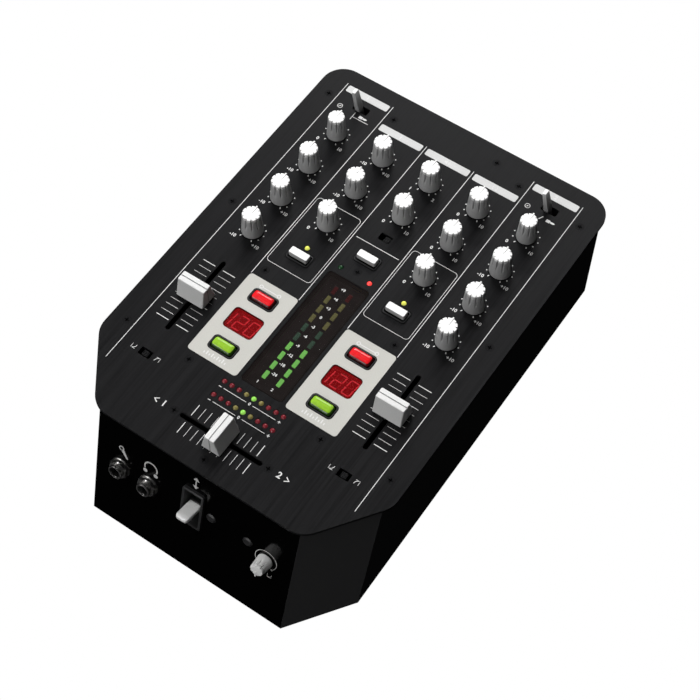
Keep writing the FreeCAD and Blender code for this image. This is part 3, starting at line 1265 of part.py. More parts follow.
def all_parts():
    parts = {
        "top_panel": top_panel(),
        "chassis_shell": chassis_shell(),
        "bottom_plate": bottom_plate(),
        "rubber_feet": rubber_feet(),
        "panel_screws": panel_screw_set(),
        "case_screws": case_screws(),
        "jack_nuts": jack_nuts(),
        "circuit_boards": circuit_boards(),
        "board_spacers": board_spacers(),
        "pot_bodies": pot_bodies(),
        "fader_frames": fader_frames(),
        "switch_bodies": toggle_bodies() + key_switches() + slide_bodies(),
        "switch_bezels": key_bezels() + [lever_bezel()],
        "meter_window": meter_window(),
        "meter_baffle": meter_baffle(),
        "red_lamps": lamps_of("red"),
        "yellow_lamps": lamps_of("yellow"),
        "green_lamps": lamps_of("green"),
        "tempo_displays": tempo_displays(),
        "jack_sockets": jack_sockets(),
        "rca_jacks": rca_jacks(),
        "rca_sleeves": rca_sleeves(),
        "rear_terminals": rear_terminals(),
        "knob_crossfader_curve": curve_knob(),
        "reverse_lever": reverse_lever(),
        "power_rocker": power_rocker(),
    }
    for group in (top_knobs(), faders(), toggle_levers(), push_keys(), slide_nubs()):
        parts.update(group)
    return parts


def export(name, piece):
    solids = piece if isinstance(piece, list) else [piece]
    shape = Part.makeCompound(solids) if len(solids) > 1 else solids[0]
    shape.translated(Vector(0, PANEL_Y, 0)).exportStep("parts/" + name + ".step")


for node, piece in all_parts().items():
    export(node, piece)
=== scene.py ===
import bmesh
import bpy
import json
import math
from mathutils import Matrix, Vector


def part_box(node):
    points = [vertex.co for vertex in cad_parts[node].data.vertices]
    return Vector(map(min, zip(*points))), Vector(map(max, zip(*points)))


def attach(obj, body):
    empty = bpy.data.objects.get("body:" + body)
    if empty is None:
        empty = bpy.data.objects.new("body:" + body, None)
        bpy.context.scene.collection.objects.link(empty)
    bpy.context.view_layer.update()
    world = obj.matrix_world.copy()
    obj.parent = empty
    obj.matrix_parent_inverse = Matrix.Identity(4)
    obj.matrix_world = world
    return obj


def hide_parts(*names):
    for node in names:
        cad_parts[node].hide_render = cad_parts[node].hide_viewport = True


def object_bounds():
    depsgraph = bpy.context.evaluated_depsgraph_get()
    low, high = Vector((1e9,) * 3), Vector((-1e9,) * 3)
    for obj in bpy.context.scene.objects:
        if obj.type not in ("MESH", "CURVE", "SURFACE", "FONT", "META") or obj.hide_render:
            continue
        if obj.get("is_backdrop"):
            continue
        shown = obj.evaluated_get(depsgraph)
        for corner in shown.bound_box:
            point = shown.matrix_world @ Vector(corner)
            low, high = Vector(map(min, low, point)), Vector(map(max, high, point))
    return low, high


# Two-channel mixer dressed for the camera. Sizes are in millimetres unless a line says otherwise.
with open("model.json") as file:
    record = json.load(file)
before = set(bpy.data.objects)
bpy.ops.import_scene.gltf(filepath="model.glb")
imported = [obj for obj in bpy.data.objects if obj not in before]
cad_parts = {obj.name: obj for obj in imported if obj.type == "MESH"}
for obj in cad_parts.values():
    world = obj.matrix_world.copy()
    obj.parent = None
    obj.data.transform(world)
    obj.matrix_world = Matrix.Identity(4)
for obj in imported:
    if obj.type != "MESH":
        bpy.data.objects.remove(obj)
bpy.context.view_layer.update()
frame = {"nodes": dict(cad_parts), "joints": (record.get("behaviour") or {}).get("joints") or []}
mm = 0.001
joints = {joint["child"]: joint for joint in frame["joints"]}
panelLow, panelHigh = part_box("top_panel")
panelPlace = Matrix.Translation((0, (panelLow.y + panelHigh.y) / 2, panelHigh.z))  # middle of the panel's top
panelMid = panelPlace.translation
print("frame:", len(frame["nodes"]), "nodes")

# The front face leans, so its axes come from the small knob's shaft: x across, y up the slope, z outward
curveJoint = joints["knob_crossfader_curve"]
faceOut = -Vector(curveJoint["axis"])
faceUp = faceOut.cross(Vector((1, 0, 0)))
faceFoot = Vector((0, curveJoint["pos_m"][1], curveJoint["pos_m"][2]))  # on the line of the sockets
frontPlace = Matrix((
    (1, faceUp.x, faceOut.x, faceFoot.x),
    (0, faceUp.y, faceOut.y, faceFoot.y),
    (0, faceUp.z, faceOut.z, faceFoot.z),
    (0, 0, 0, 1),
))


# Finishes

grainForm = {"spread": (0.3, 0.7), "strength": 0.3}  # the noise's used range, its relief's share


def linear(code):  # sRGB hex to linear
    parts = [int(code[i:i + 2], 16) / 255 for i in (1, 3, 5)]
    return [p / 12.92 if p <= 0.04045 else ((p + 0.055) / 1.055) ** 2.4 for p in parts] + [1.0]


def addNode(tree, kind, settings=None, inputs=None):
    node = tree.nodes.new(kind)
    for name, value in (settings or {}).items():
        setattr(node, name, value)
    for name, value in (inputs or {}).items():
        if isinstance(value, bpy.types.NodeSocket):
            tree.links.new(value, node.inputs[name])
        else:
            node.inputs[name].default_value = value
    return node


def addGrain(tree, look):
    # Noise of a real size gives the tone, the roughness and a fine relief.
    place = addNode(tree, "ShaderNodeTexCoord")
    scale = [stretch / (look["grain"] * mm) for stretch in look.get("stretch", (1, 1, 1))]
    spread = addNode(tree, "ShaderNodeMapping", None, {"Vector": place.outputs["Object"], "Scale": scale})
    noise = addNode(tree, "ShaderNodeTexNoise", None,
                    {"Vector": spread.outputs["Vector"], "Scale": 1.0, "Detail": look.get("detail", 2.0)})
    low, high = grainForm["spread"]
    dark, pale = [linear(code) for code in look["tones"]]
    smooth, dull = look["rough"]
    share = addNode(tree, "ShaderNodeMapRange", None,
                    {"Value": noise.outputs["Fac"], "From Min": low, "From Max": high})
    tone = addNode(tree, "ShaderNodeMix", {"data_type": "RGBA"},
                   {"Factor": share.outputs["Result"], 6: dark, 7: pale})
    rough = addNode(tree, "ShaderNodeMapRange", None,
                    {"Value": share.outputs["Result"], "To Min": smooth, "To Max": dull})
    relief = addNode(tree, "ShaderNodeBump", None,
                     {"Height": noise.outputs["Fac"], "Strength": grainForm["strength"],
                      "Distance": look["relief"] * mm})
    return tone.outputs[2], rough.outputs["Result"], relief.outputs["Normal"]


finishes = {}


def makeFinish(name, look):
    material = bpy.data.materials.new(name)
    material.use_nodes = True
    tree = material.node_tree
    shader = tree.nodes["Principled BSDF"]
    for socket, value in look["sockets"].items():
        shader.inputs[socket].default_value = linear(value) if isinstance(value, str) else value
    tone, rough, relief = addGrain(tree, look)
    tree.links.new(tone, shader.inputs["Base Color"])
    tree.links.new(rough, shader.inputs["Roughness"])
    tree.links.new(relief, shader.inputs["Normal"])
    finishes[name] = material
    return tree, shader, tone, rough


# Black anodised aluminium, brushed from front to rear: long fine streaks, drawn 0.7 mm wide so that they show
makeFinish("anodisedAluminiumBrushed", {
    "grain": 0.7, "stretch": (1, 0.012, 1), "detail": 3.0, "tones": ("#0C0C0D", "#181819"),
    "rough": (0.42, 0.6), "relief": 0.02, "sockets": {"IOR": 1.5, "Specular IOR Level": 0.2},
})
# Moulded black ABS: switch bodies, slide nubs and hubs, a soft sheen on a fine spark-eroded grain
makeFinish("absMouldedBlack", {
    "grain": 0.35, "tones": ("#0B0B0C", "#131314"), "rough": (0.32, 0.46), "relief": 0.02,
    "sockets": {"IOR": 1.53},
})
# The same ABS made lighter: on the key bezels' flat rims it is painted light where light falls on them; the
# lever's bezel wears it all over
makeFinish("absBlackPaintedLight", {
    "grain": 0.35, "tones": ("#222223", "#2A2A2B"), "rough": (0.42, 0.54), "relief": 0.02,
    "sockets": {"IOR": 1.53, "Specular IOR Level": 0.3},
})
# The same ABS made darker and duller: painted shade on the key bezels' outsides and in their wells, and on
# the keys' feet down in the wells
makeFinish("absBlackPaintedShade", {
    "grain": 0.35, "tones": ("#060606", "#0A0A0A"), "rough": (0.6, 0.75), "relief": 0.02,
    "sockets": {"IOR": 1.53, "Specular IOR Level": 0.15},
})
# Moulded grey ABS: knob skirts, an even satin. The same grey is painted shade in the fader caps' grooves and
# on the knob pointers' and white keys' flanks
makeFinish("absGreyAndPaintedShade", {
    "grain": 0.3, "tones": ("#9E9E9E", "#AAAAAA"), "rough": (0.42, 0.55), "relief": 0.02,
    "sockets": {"IOR": 1.53},
})
# Moulded white ABS: knob caps and keys, bright with a soft highlight. On the toggles' tips the white is a
# painted highlight
makeFinish("absWhiteAndTipHighlight", {
    "grain": 0.4, "tones": ("#DADAD9", "#E2E2E1"), "rough": (0.34, 0.44), "relief": 0.01,
    "sockets": {"IOR": 1.53},
})
# Moulded off-white ABS: the fader caps, a little duller than the keys
makeFinish("absMouldedOffWhite", {
    "grain": 0.4, "tones": ("#C8C8C7", "#D0D0CF"), "rough": (0.36, 0.46), "relief": 0.01,
    "sockets": {"IOR": 1.53},
})
# Moulded pale grey ABS: the small front knob, all in one, and the reverse lever
makeFinish("absMouldedPale", {
    "grain": 0.4, "tones": ("#E6E6E5", "#EEEEED"), "rough": (0.36, 0.48), "relief": 0.01,
    "sockets": {"IOR": 1.53},
})
# Moulded grey nylon: the toggle levers, duller than ABS
makeFinish("nylonMouldedGrey", {
    "grain": 0.3, "tones": ("#A0A0A0", "#AEAEAE"), "rough": (0.48, 0.6), "relief": 0.02,
    "sockets": {"IOR": 1.53},
})
# Moulded rubber: the feet, dull and slightly dusty
makeFinish("rubberMoulded", {
    "grain": 0.5, "tones": ("#0E0E0E", "#191919"), "rough": (0.7, 0.85), "relief": 0.04,
    "sockets": {"IOR": 1.52, "Specular IOR Level": 0.3},
})
# Black-oxidised steel: the base screws
makeFinish("steelBlackOxide", {
    "grain": 0.25, "tones": ("#0A0A0B", "#161618"), "rough": (0.4, 0.55), "relief": 0.01,
    "sockets": {"IOR": 1.5},
})
# Nickel-plated brass, barrelled: socket nuts and sleeves, a satin metal with faint turning marks
makeFinish("brassNickelPlated", {
    "grain": 0.6, "stretch": (1, 1, 3), "tones": ("#B6B5B3", "#CAC9C7"), "rough": (0.24, 0.33),
    "relief": 0.005, "sockets": {"Metallic": 1.0},
})
# Steel under matt stove paint: the fader frames, which leave their slots black
makeFinish("steelPaintedMatt", {
    "grain": 0.4, "tones": ("#060606", "#0B0B0B"), "rough": (0.75, 0.88), "relief": 0.02,
    "sockets": {"IOR": 1.5, "Specular IOR Level": 0.1},
})
# Zinc-plated steel: potentiometers and carriages under the panel
makeFinish("steelZincPlated", {
    "grain": 1.5, "tones": ("#8C8F92", "#A6A9AB"), "rough": (0.3, 0.45), "relief": 0.01,
    "sockets": {"Metallic": 1.0},
})
# Turned brass: the hexagonal board spacers
makeFinish("brassTurned", {
    "grain": 0.5, "stretch": (1, 1, 4), "tones": ("#A88438", "#C29C4A"), "rough": (0.25, 0.4),
    "relief": 0.005, "sockets": {"Metallic": 1.0},
})
# Epoxy-glass board under green solder mask
makeFinish("epoxyGlassMasked", {
    "grain": 0.5, "tones": ("#0D3B22", "#12492B"), "rough": (0.3, 0.42), "relief": 0.02,
    "sockets": {"IOR": 1.5},
})
# Smoked acrylic, cast and coated against glare: nearly black and warm, and what is lit behind it shows
makeFinish("acrylicSmoked", {
    "grain": 6.0, "tones": ("#1F1B1A", "#25201F"), "rough": (0.1, 0.14), "relief": 0.002,
    "sockets": {"IOR": 1.49, "Specular IOR Level": 0.2, "Alpha": 0.46},
})
# Red acrylic with the same coat: the windows over the figures
makeFinish("acrylicRedClear", {
    "grain": 4.0, "tones": ("#7A0508", "#86070B"), "rough": (0.08, 0.14), "relief": 0.002,
    "sockets": {"IOR": 1.49, "Specular IOR Level": 0.2, "Alpha": 0.25},
})
# Screen-printed white ink: a matt film
makeFinish("screenInkWhite", {
    "grain": 0.25, "tones": ("#BCBCBB", "#CECECD"), "rough": (0.5, 0.65), "relief": 0.005,
    "sockets": {"IOR": 1.48},
})
# Screen-printed silver-grey ink: the plates, slightly speckled by the mesh
makeFinish("screenInkSilver", {
    "grain": 0.5, "tones": ("#A9A8A2", "#B1B0AB"), "rough": (0.48, 0.6), "relief": 0.01,
    "sockets": {"IOR": 1.48},
})
# The same ink laid on thicker: the label bars, a little brighter
makeFinish("screenInkPale", {
    "grain": 0.5, "tones": ("#B2B2B1", "#C0C0BF"), "rough": (0.48, 0.6), "relief": 0.01,
    "sockets": {"IOR": 1.48},
})


def makeLamp(name, tones, glow, strength, rough=(0.2, 0.3)):
    # Dyed epoxy or polycarbonate, lit from within: an even glow under a smooth skin.
    makeFinish(name, {
        "grain": 1.2, "tones": tones, "rough": rough, "relief": 0.001,
        "sockets": {"IOR": 1.55, "Emission Color": glow, "Emission Strength": strength},
    })


makeLamp("epoxyRedDim", ("#561A20", "#662026"), "#B03844", 0.16)
makeLamp("epoxyRedLit", ("#C83838", "#DC4444"), "#FF4840", 0.8)
makeLamp("epoxyYellowDim", ("#5A5430", "#6A623A"), "#A89C58", 0.2)
makeLamp("epoxyYellowLit", ("#A8A848", "#B8B850"), "#E0E468", 0.6)
makeLamp("epoxyGreenDim", ("#16301C", "#1C3C22"), "#2C6038", 0.1)
makeLamp("epoxyGreenLit", ("#5C9A3A", "#68A842"), "#A0DC60", 0.55)
makeLamp("barRedDim", ("#501014", "#641418"), "#80181C", 0.3)
makeLamp("barYellowDim", ("#868250", "#94905A"), "#A09C62", 0.55)
makeLamp("barGreenDim", ("#426450", "#4E725C"), "#5A8870", 0.42)
makeLamp("barGreenLit", ("#68B450", "#78C45C"), "#90E870", 1.5)
makeLamp("polycarbonateRedShade", ("#3A0608", "#46080A"), "#50080A", 0.1)
makeLamp("polycarbonateGreenShade", ("#1E380A", "#26440C"), "#2C5010", 0.1)
makeLamp("polycarbonateRedLit", ("#B4161C", "#C41C22"), "#E02028", 0.18, (0.1, 0.15))
makeLamp("polycarbonateGreenLit", ("#749A26", "#80AA2C"), "#90C430", 0.12, (0.1, 0.15))
makeLamp("segmentLit", ("#A8262C", "#B42E34"), "#D83C48", 0.42)
makeLamp("segmentDark", ("#5A0A0C", "#660C10"), "#9C161C", 0.3)
makeLamp("displayBacking", ("#3C0406", "#460608"), "#8C0C10", 0.28)

enamelForm = {"tone": "#040404", "rough": 0.12, "facing": (0.99, 0.999)}  # facing: how squarely forward


def makeHousing():
    # Powder-coated steel, a fine orange peel; the leaning face carries a smooth gloss enamel instead.
    look = {"grain": 0.5, "tones": ("#3C3C3D", "#454546"), "rough": (0.5, 0.64), "relief": 0.05,
            "sockets": {"IOR": 1.5, "Specular IOR Level": 0.35}}
    tree, shader, tone, rough = makeFinish("steelPowderCoated", look)
    place = addNode(tree, "ShaderNodeNewGeometry")
    facing = addNode(tree, "ShaderNodeVectorMath", {"operation": "DOT_PRODUCT"},
                     {0: place.outputs["True Normal"], 1: faceOut})
    low, high = enamelForm["facing"]
    onFace = addNode(tree, "ShaderNodeMapRange", None,
                     {"Value": facing.outputs["Value"], "From Min": low, "From Max": high})
    enamel = addNode(tree, "ShaderNodeMix", {"data_type": "RGBA"},
                     {"Factor": onFace.outputs["Result"], 6: tone, 7: linear(enamelForm["tone"])})
    gloss = addNode(tree, "ShaderNodeMix", {"data_type": "FLOAT"},
                    {"Factor": onFace.outputs["Result"], 2: rough, 3: enamelForm["rough"]})
    tree.links.new(enamel.outputs[2], shader.inputs["Base Color"])
    tree.links.new(gloss.outputs[0], shader.inputs["Roughness"])


def makeSplit(name, look, level, lower):
    # Two colours in one piece, changing at a height.
    tree, shader, tone = makeFinish(name, look)[:3]
    place = addNode(tree, "ShaderNodeTexCoord")
    height = addNode(tree, "ShaderNodeSeparateXYZ", None, {"Vector": place.outputs["Object"]})
    above = addNode(tree, "ShaderNodeMath", {"operation": "GREATER_THAN"}, {0: height.outputs["Z"], 1: level})
    pair = addNode(tree, "ShaderNodeMix", {"data_type": "RGBA"},
                   {"Factor": above.outputs["Value"], 6: linear(lower), 7: tone})
    tree.links.new(pair.outputs[2], shader.inputs["Base Color"])


phonoLow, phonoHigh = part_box("rca_sleeves")
phonoMid = (phonoLow.z + phonoHigh.z) / 2
# Below this height a screw's cross recess is painted black as shade
recessShadeTop = panelHigh.z - 0.15 * mm  # of the cross in a screw's head
makeHousing()
# Moulded ABS inserts of the phono sockets: white above, red below
makeSplit("absMouldedTwoTone", {
    "grain": 0.4, "tones": ("#C9C9C6", "#D6D6D3"), "rough": (0.35, 0.45), "relief": 0.01,
    "sockets": {"IOR": 1.53},
}, phonoMid, "#A8181C")
# Black-oxidised steel let into the panel: as dark as the panel round it, and painted black down in the cross
# recess as shade
makeSplit("steelBlackOxideAndRecessShade", {
    "grain": 0.25, "tones": ("#0D0D0E", "#151516"), "rough": (0.5, 0.62), "relief": 0.01,
    "sockets": {"IOR": 1.5, "Specular IOR Level": 0.15},
}, recessShadeTop, "#000000")
print("finishes:", len(finishes))


# Shapes

tightR = 0.05  # corner of a cutter or of an inner ring, near enough sharp
roundSteps = 24  # round small turned pieces
sharpAngle = 35  # degrees; edges beyond it show
weldReach = 1e-4
through = 1  # how far a cutter stands past what it cuts
topShares = (0.75, 0.45, 0.15)  # inner rings of a flat top


def pick(form, *names):
    return [form[name] for name in names]


def oblong(length, width, radius, steps=5, x=0.0, y=0.0):  # rounded rectangle, counter-clockwise
    points = []
    for quarter, (sx, sy) in enumerate(((1, 1), (-1, 1), (-1, -1), (1, -1))):
        for i in range(steps + 1):
            turn = math.pi / 2 * (quarter + i / steps)
            points.append((x + (sx * (length / 2 - radius) + radius * math.cos(turn)),
                           y + (sy * (width / 2 - radius) + radius * math.sin(turn))))
    return points


def arc(x, y, radius, start, end, steps):  # degrees, counter-clockwise
    turns = [math.radians(start + (end - start) * i / steps) for i in range(steps + 1)]
    return [(x + radius * math.cos(t), y + radius * math.sin(t)) for t in turns]


def disc(x, y, radius):
    return arc(x, y, radius, 0, 330, 11)


def hoop(x, y, radius):
    return arc(x, y, radius, 0, 345, 23)


def ringAt(radius, z, steps, x=0.0, y=0.0):
    turns = [2 * math.pi * i / steps for i in range(steps)]
    return [(x + radius * math.cos(t), y + radius * math.sin(t), z) for t in turns]


def loft(shape, loops, material=0, ends=(True, True)):
    # Skins a stack of rings that have the same number of points; a ring of one point is a tip.
    rings = [[shape.verts.new(point) for point in loop] for loop in loops]
    count = max(len(ring) for ring in rings)
    for lower, upper in zip(rings, rings[1:]):
        for i in range(count):
            j = (i + 1) % count
            corners = [lower[i % len(lower)], lower[j % len(lower)],
                       upper[j % len(upper)], upper[i % len(upper)]]
            face = shape.faces.new(list(dict.fromkeys(corners)))
            face.material_index = material
    for ring, wanted in zip((rings[0][::-1], rings[-1]), ends):
        if wanted and len(ring) > 2:
            shape.faces.new(ring).material_index = material


def loftRound(shape, rings):  # back to its first ring, like a tyre
    loft(shape, rings + rings[:1], 0, (False, False))


def prism(shape, outline, levels, material=0):
    loft(shape, [[(x, y, z) for x, y in outline] for z in levels], material)


def lathe(shape, profile, steps, material=0, x=0.0, y=0.0):
    loops = [ringAt(radius, z, steps if radius else 1, x, y) for radius, z in profile]
    loft(shape, loops, material)


def addBlock(shape, low, high, edge, material=0, steps=4, x=0.0, y=0.0):
    # Rounded block from (z, length, width, radius) low to high, with a rolled top edge.
    loops = []
    for z, length, width, radius in (low, high):
        loops.append([(px, py, z) for px, py in oblong(length, width, radius, 5, x, y)])
    top, length, width, radius = high
    for i in range(1, steps + 1):
        turn = math.pi / 2 * i / steps
        inset = edge * (1 - math.cos(turn))
        points = oblong(length - 2 * inset, width - 2 * inset, max(radius - inset, tightR), 5, x, y)
        loops.append([(px, py, top + edge * math.sin(turn)) for px, py in points])
    for share in topShares:
        points = oblong((length - 2 * edge) * share, (width - 2 * edge) * share, tightR, 5, x, y)
        loops.append([(px, py, top + edge) for px, py in points])
    loft(shape, loops, material)


def addObject(name, data):
    item = bpy.data.objects.new(name, data)
    bpy.context.scene.collection.objects.link(item)
    return item


def placePiece(name, mesh, body, stands=(), place=None):
    piece = addObject(name, mesh)
    if place is not None:
        piece.matrix_world = place
    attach(piece, body)
    if stands:
        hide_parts(*stands)
    return piece


def toMesh(name, shape):  # millimetres become metres here
    bmesh.ops.recalc_face_normals(shape, faces=shape.faces)
    bmesh.ops.scale(shape, vec=(mm, mm, mm), verts=shape.verts)
    mesh = bpy.data.meshes.new(name)
    shape.to_mesh(mesh)
    shape.free()
    return mesh


def makeMesh(name, shape, finishNames, sharp=sharpAngle):
    bmesh.ops.remove_doubles(shape, verts=shape.verts, dist=weldReach)
    mesh = toMesh(name, shape)
    for finish in finishNames:
        mesh.materials.append(finishes[finish])
    mesh.shade_smooth()
    mesh.set_sharp_from_angle(angle=math.radians(sharp))
    return mesh


def asBuilt(item):  # the mesh that its modifiers or its curve give
    bpy.context.view_layer.update()
    return bpy.data.meshes.new_from_object(item.evaluated_get(bpy.context.evaluated_depsgraph_get()))


def carve(mesh, shape, material):
    # Cuts a shape, in millimetres, out of a finished mesh; the cut faces take the given material.
    for face in shape.faces:
        face.material_index = material
    cutterMesh = toMesh("cutter", shape)
    for finish in mesh.materials:
        cutterMesh.materials.append(finish)
    holders = [addObject("carving", data) for data in (mesh, cutterMesh)]
    cut = holders[0].modifiers.new("cut", "BOOLEAN")
    cut.operation = "DIFFERENCE"
    cut.object = holders[1]
    cut.solver = "EXACT"
    done = asBuilt(holders[0])
    for holder in holders:
        bpy.data.objects.remove(holder)
    done.name = mesh.name
    done.set_sharp_from_angle(angle=math.radians(sharpAngle))
    return done


edgeForm = {"weld": 0.001, "flat": 0.5, "corner": 40, "segments": 2}  # angles in degrees


def dress(node, finish, edge):
    # A solid whose shape is right keeps it, and gets its finish and softened edges.
    piece = frame["nodes"][node]
    piece.data.materials.clear()
    piece.data.materials.append(finishes[finish])
    if edge:
        weld = piece.modifiers.new("joinSeams", "WELD")
        weld.merge_threshold = edgeForm["weld"] * mm
        flats = piece.modifiers.new("joinFlats", "DECIMATE")  # slivers round the holes would tear the bevel
        flats.decimate_type = "DISSOLVE"
        flats.angle_limit = math.radians(edgeForm["flat"])
        bevel = piece.modifiers.new("softEdge", "BEVEL")
        bevel.width = edge * mm
        bevel.segments = edgeForm["segments"]
        bevel.limit_method = "ANGLE"
        bevel.angle_limit = math.radians(edgeForm["corner"])
        even = piece.modifiers.new("evenFlats", "WEIGHTED_NORMAL")  # the flats round the holes stay flat
        even.weight = 100
        even.keep_sharp = True


def axisOf(node):  # where a knob, key or cap stands, in metres
    low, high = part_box(node)
    return (low.x + high.x) / 2, (low.y + high.y) / 2


def spotOf(node):  # the same from the panel's middle, in millimetres
    x, y = axisOf(node)
    return x / mm, (y - panelMid.y) / mm


def onPanel(node):
    return Matrix.Translation((*axisOf(node), panelHigh.z))


# Solids that stay

solidLooks = {  # the edge that each node gets
    "anodisedAluminiumBrushed": {"top_panel": 0.25},
    "steelPowderCoated": {"chassis_shell": 0.6, "bottom_plate": 0.0},
    "rubberMoulded": {"rubber_feet": 0.4},
    "steelBlackOxideAndRecessShade": {"panel_screws": 0.0},
    "steelBlackOxide": {"case_screws": 0.0},
    "epoxyGlassMasked": {"circuit_boards": 0.0},
    "brassTurned": {"board_spacers": 0.0},
    "steelZincPlated": {"pot_bodies": 0.0, "fader_carriage_ch1": 0.0, "fader_carriage_ch2": 0.0,
                        "fader_carriage_cross": 0.0},
    "steelPaintedMatt": {"fader_frames": 0.0},
    "absMouldedBlack": {"switch_bodies": 0.0, "meter_baffle": 0.0, "jack_sockets": 0.2,
                        "rear_terminals": 0.25, "power_rocker": 0.3},
    "acrylicSmoked": {"meter_window": 0.0},
    "absMouldedTwoTone": {"rca_jacks": 0.15},
    "brassNickelPlated": {"rca_sleeves": 0.15},
}
for finish, edges in solidLooks.items():
    for node, edge in edges.items():
        dress(node, finish, edge)
print("solids dressed")


# Knobs

knobForm = {
    "flutes": 10, "stepsPerFlute": 24, "fluteHalfAngle": 5.2, "fluteRound": 1.4, "fluteStart": 0.42,
    "fluteRunIn": 0.16, "fluteDepth": 1.15, "fluteOnR": 5.5,  # its depth on a knob of that top radius
    "lift": 0.3, "rim": 1.0, "foot": ((0.0, 0.35), (0.1, 0.1), (0.35, 0.0), (1.0, 0.0)), "risers": 16,
    "cap": 2.0, "seam": 0.12, "seamGap": 0.1, "edge": 0.45, "edgeSteps": 4, "dome": 0.2,
    "pointerWidth": 1.0, "pointerRise": 0.45, "pointerReach": 0.7, "pointerFoot": 0.35, "pointerStart": 0.6,
    "pointerR": 0.25, "crest": 0.15, "crestTrim": 0.1, "domeShares": (0.85, 0.6, 0.3), "fade": (2.5, 1.5),
    "sharp": 50,
}
knobSizes = {  # height, base radius, top radius, finishes of skirt and cap
    "plain": (17.1, 6.8, 5.5, ("absGreyAndPaintedShade", "absWhiteAndTipHighlight")),
    "gain": (17.1, 6.2, 5.05, ("absGreyAndPaintedShade", "absWhiteAndTipHighlight")),
    "front": (9.4, 4.9, 4.1, ("absMouldedPale", "absMouldedPale")),
}
knobNodes = [n for n in frame["nodes"] if n.startswith("knob_")]


def knobRing(z, inset, share, height, baseR, topR):
    # One ring of the fluted cone; the pointer stands where the first flute would be.
    low = knobForm["lift"] + knobForm["rim"]
    rise = min(max((z - low) / (height - low), 0.0), 1.0)
    radius = baseR + (topR - baseR) * rise
    start = height * knobForm["fluteStart"]
    run = min(max((z - start) / (height * knobForm["fluteRunIn"]), 0.0), 1.0)
    depth = knobForm["fluteDepth"] * topR / knobForm["fluteOnR"] * run * run * (3 - 2 * run)
    pitch = 360 / knobForm["flutes"]
    count = knobForm["flutes"] * knobForm["stepsPerFlute"]
    steep, gone = knobForm["fade"]  # of the flutes, towards the middle of the top
    points = []
    for i in range(count):
        angle = 360 * i / count
        away = abs((angle + pitch / 2) % pitch - pitch / 2)
        flute = 0.0
        if away < knobForm["fluteHalfAngle"] and pitch / 2 < angle < 360 - pitch / 2:
            flute = math.cos(math.pi / 2 * away / knobForm["fluteHalfAngle"]) ** knobForm["fluteRound"]
        reach = (radius - inset) * share - depth * flute * max(0.0, share * steep - gone)
        turn = math.radians(90 - angle)
        points.append((reach * math.cos(turn), reach * math.sin(turn), z))
    return points


def knobMesh(name, height, baseR, topR, finishNames):
    def ring(z, inset=0.0, share=1.0):
        return knobRing(z, inset, share, height, baseR, topR)

    shape = bmesh.new()
    lift, rim, edge, dome = pick(knobForm, "lift", "rim", "edge", "dome")
    seam = height - knobForm["cap"]
    skirt = [ring(lift + rise, inset) for rise, inset in knobForm["foot"]]
    for i in range(1, knobForm["risers"] + 1):
        skirt.append(ring(lift + rim + (seam - knobForm["seamGap"] - lift - rim) * i / knobForm["risers"]))
    skirt.append(ring(seam, knobForm["seam"]))
    loft(shape, skirt, 0, (True, False))
    crown = [ring(seam, knobForm["seam"]), ring(seam + knobForm["seam"]), ring((seam + height) / 2)]
    for i in range(knobForm["edgeSteps"] + 1):
        turn = math.pi / 2 * i / knobForm["edgeSteps"]
        crown.append(ring(height - edge + edge * math.sin(turn), edge * (1 - math.cos(turn))))
    for share in knobForm["domeShares"]:
        crown.append([(x, y, height + dome * (1 - share ** 2)) for x, y, z in ring(height, edge, share)])
    crown.append([(0, 0, height + dome)])
    loft(shape, crown, 1, (False, False))
    # The pointer is white on its crest; its flanks are grey, painted shade
    width, start, radius = pick(knobForm, "pointerWidth", "pointerStart", "pointerR")
    top, reach = height + knobForm["pointerRise"], topR + knobForm["pointerReach"]
    under = top - knobForm["crest"]
    for low, high, trim, crest in ((seam + knobForm["pointerFoot"], under, 0.0, False),
                                   (under, top, knobForm["crestTrim"], True)):
        rib = []
        for z, inset in ((low, 0.0), (high, trim)):
            outline = oblong(width - 2 * inset, reach - start - 2 * inset, radius, 3)
            rib.append([(x, (reach + start) / 2 + y, z) for x, y in outline])
        loft(shape, rib, int(crest), (not crest, crest))
    return makeMesh(name, shape, finishNames, knobForm["sharp"])


knobMeshes = {kind: knobMesh("knob_" + kind, *size) for kind, size in knobSizes.items()}
for node in knobNodes:
    if node == "knob_crossfader_curve":
        kind = "front"
        place = frontPlace @ Matrix.Translation((curveJoint["pos_m"][0], 0, 0))
        place = place @ Matrix.Rotation(math.pi, 4, "Z")
    else:
        kind = "gain" if node.endswith("gain") else "plain"
        place = onPanel(node)
    placePiece(node + "_fluted", knobMeshes[kind], node, (node,), place)
print("knobs fluted")


# Fader caps

capForm = {  # z, length, width and corner at the foot and at the head
    "foot": (1.0, 12.6, 19.2, 0.8), "head": (13.2, 6.75, 18.85, 0.8), "edge": 0.6,
    "grooveWidth": 0.75, "grooveDepth": 0.5, "endGroove": 0.5, "endDepth": 0.3,
    "cutterWidth": 2.0, "cutterGap": 0.02,
}


def faderCapMesh():
    shape = bmesh.new()
    addBlock(shape, capForm["foot"], capForm["head"], capForm["edge"])
    mesh = makeMesh("faderCap", shape, ("absMouldedOffWhite", "absGreyAndPaintedShade"))
    groove = bmesh.new()
    top = capForm["head"][0] + capForm["edge"]
    floor, width = top - capForm["grooveDepth"], capForm["cutterWidth"]
    prism(groove, oblong(capForm["grooveWidth"], 2 * capForm["foot"][2], tightR, 1), (floor, top + through))
    reach = capForm["head"][2] / 2 - capForm["endDepth"] + width / 2
    for side in (-1, 1):
        outline = oblong(capForm["endGroove"], width, tightR, 1, 0.0, side * reach)
        prism(groove, outline, (0.0, floor - capForm["cutterGap"]))
    # The grooves' faces take the grey: painted shade in them
    return carve(mesh, groove, 1)


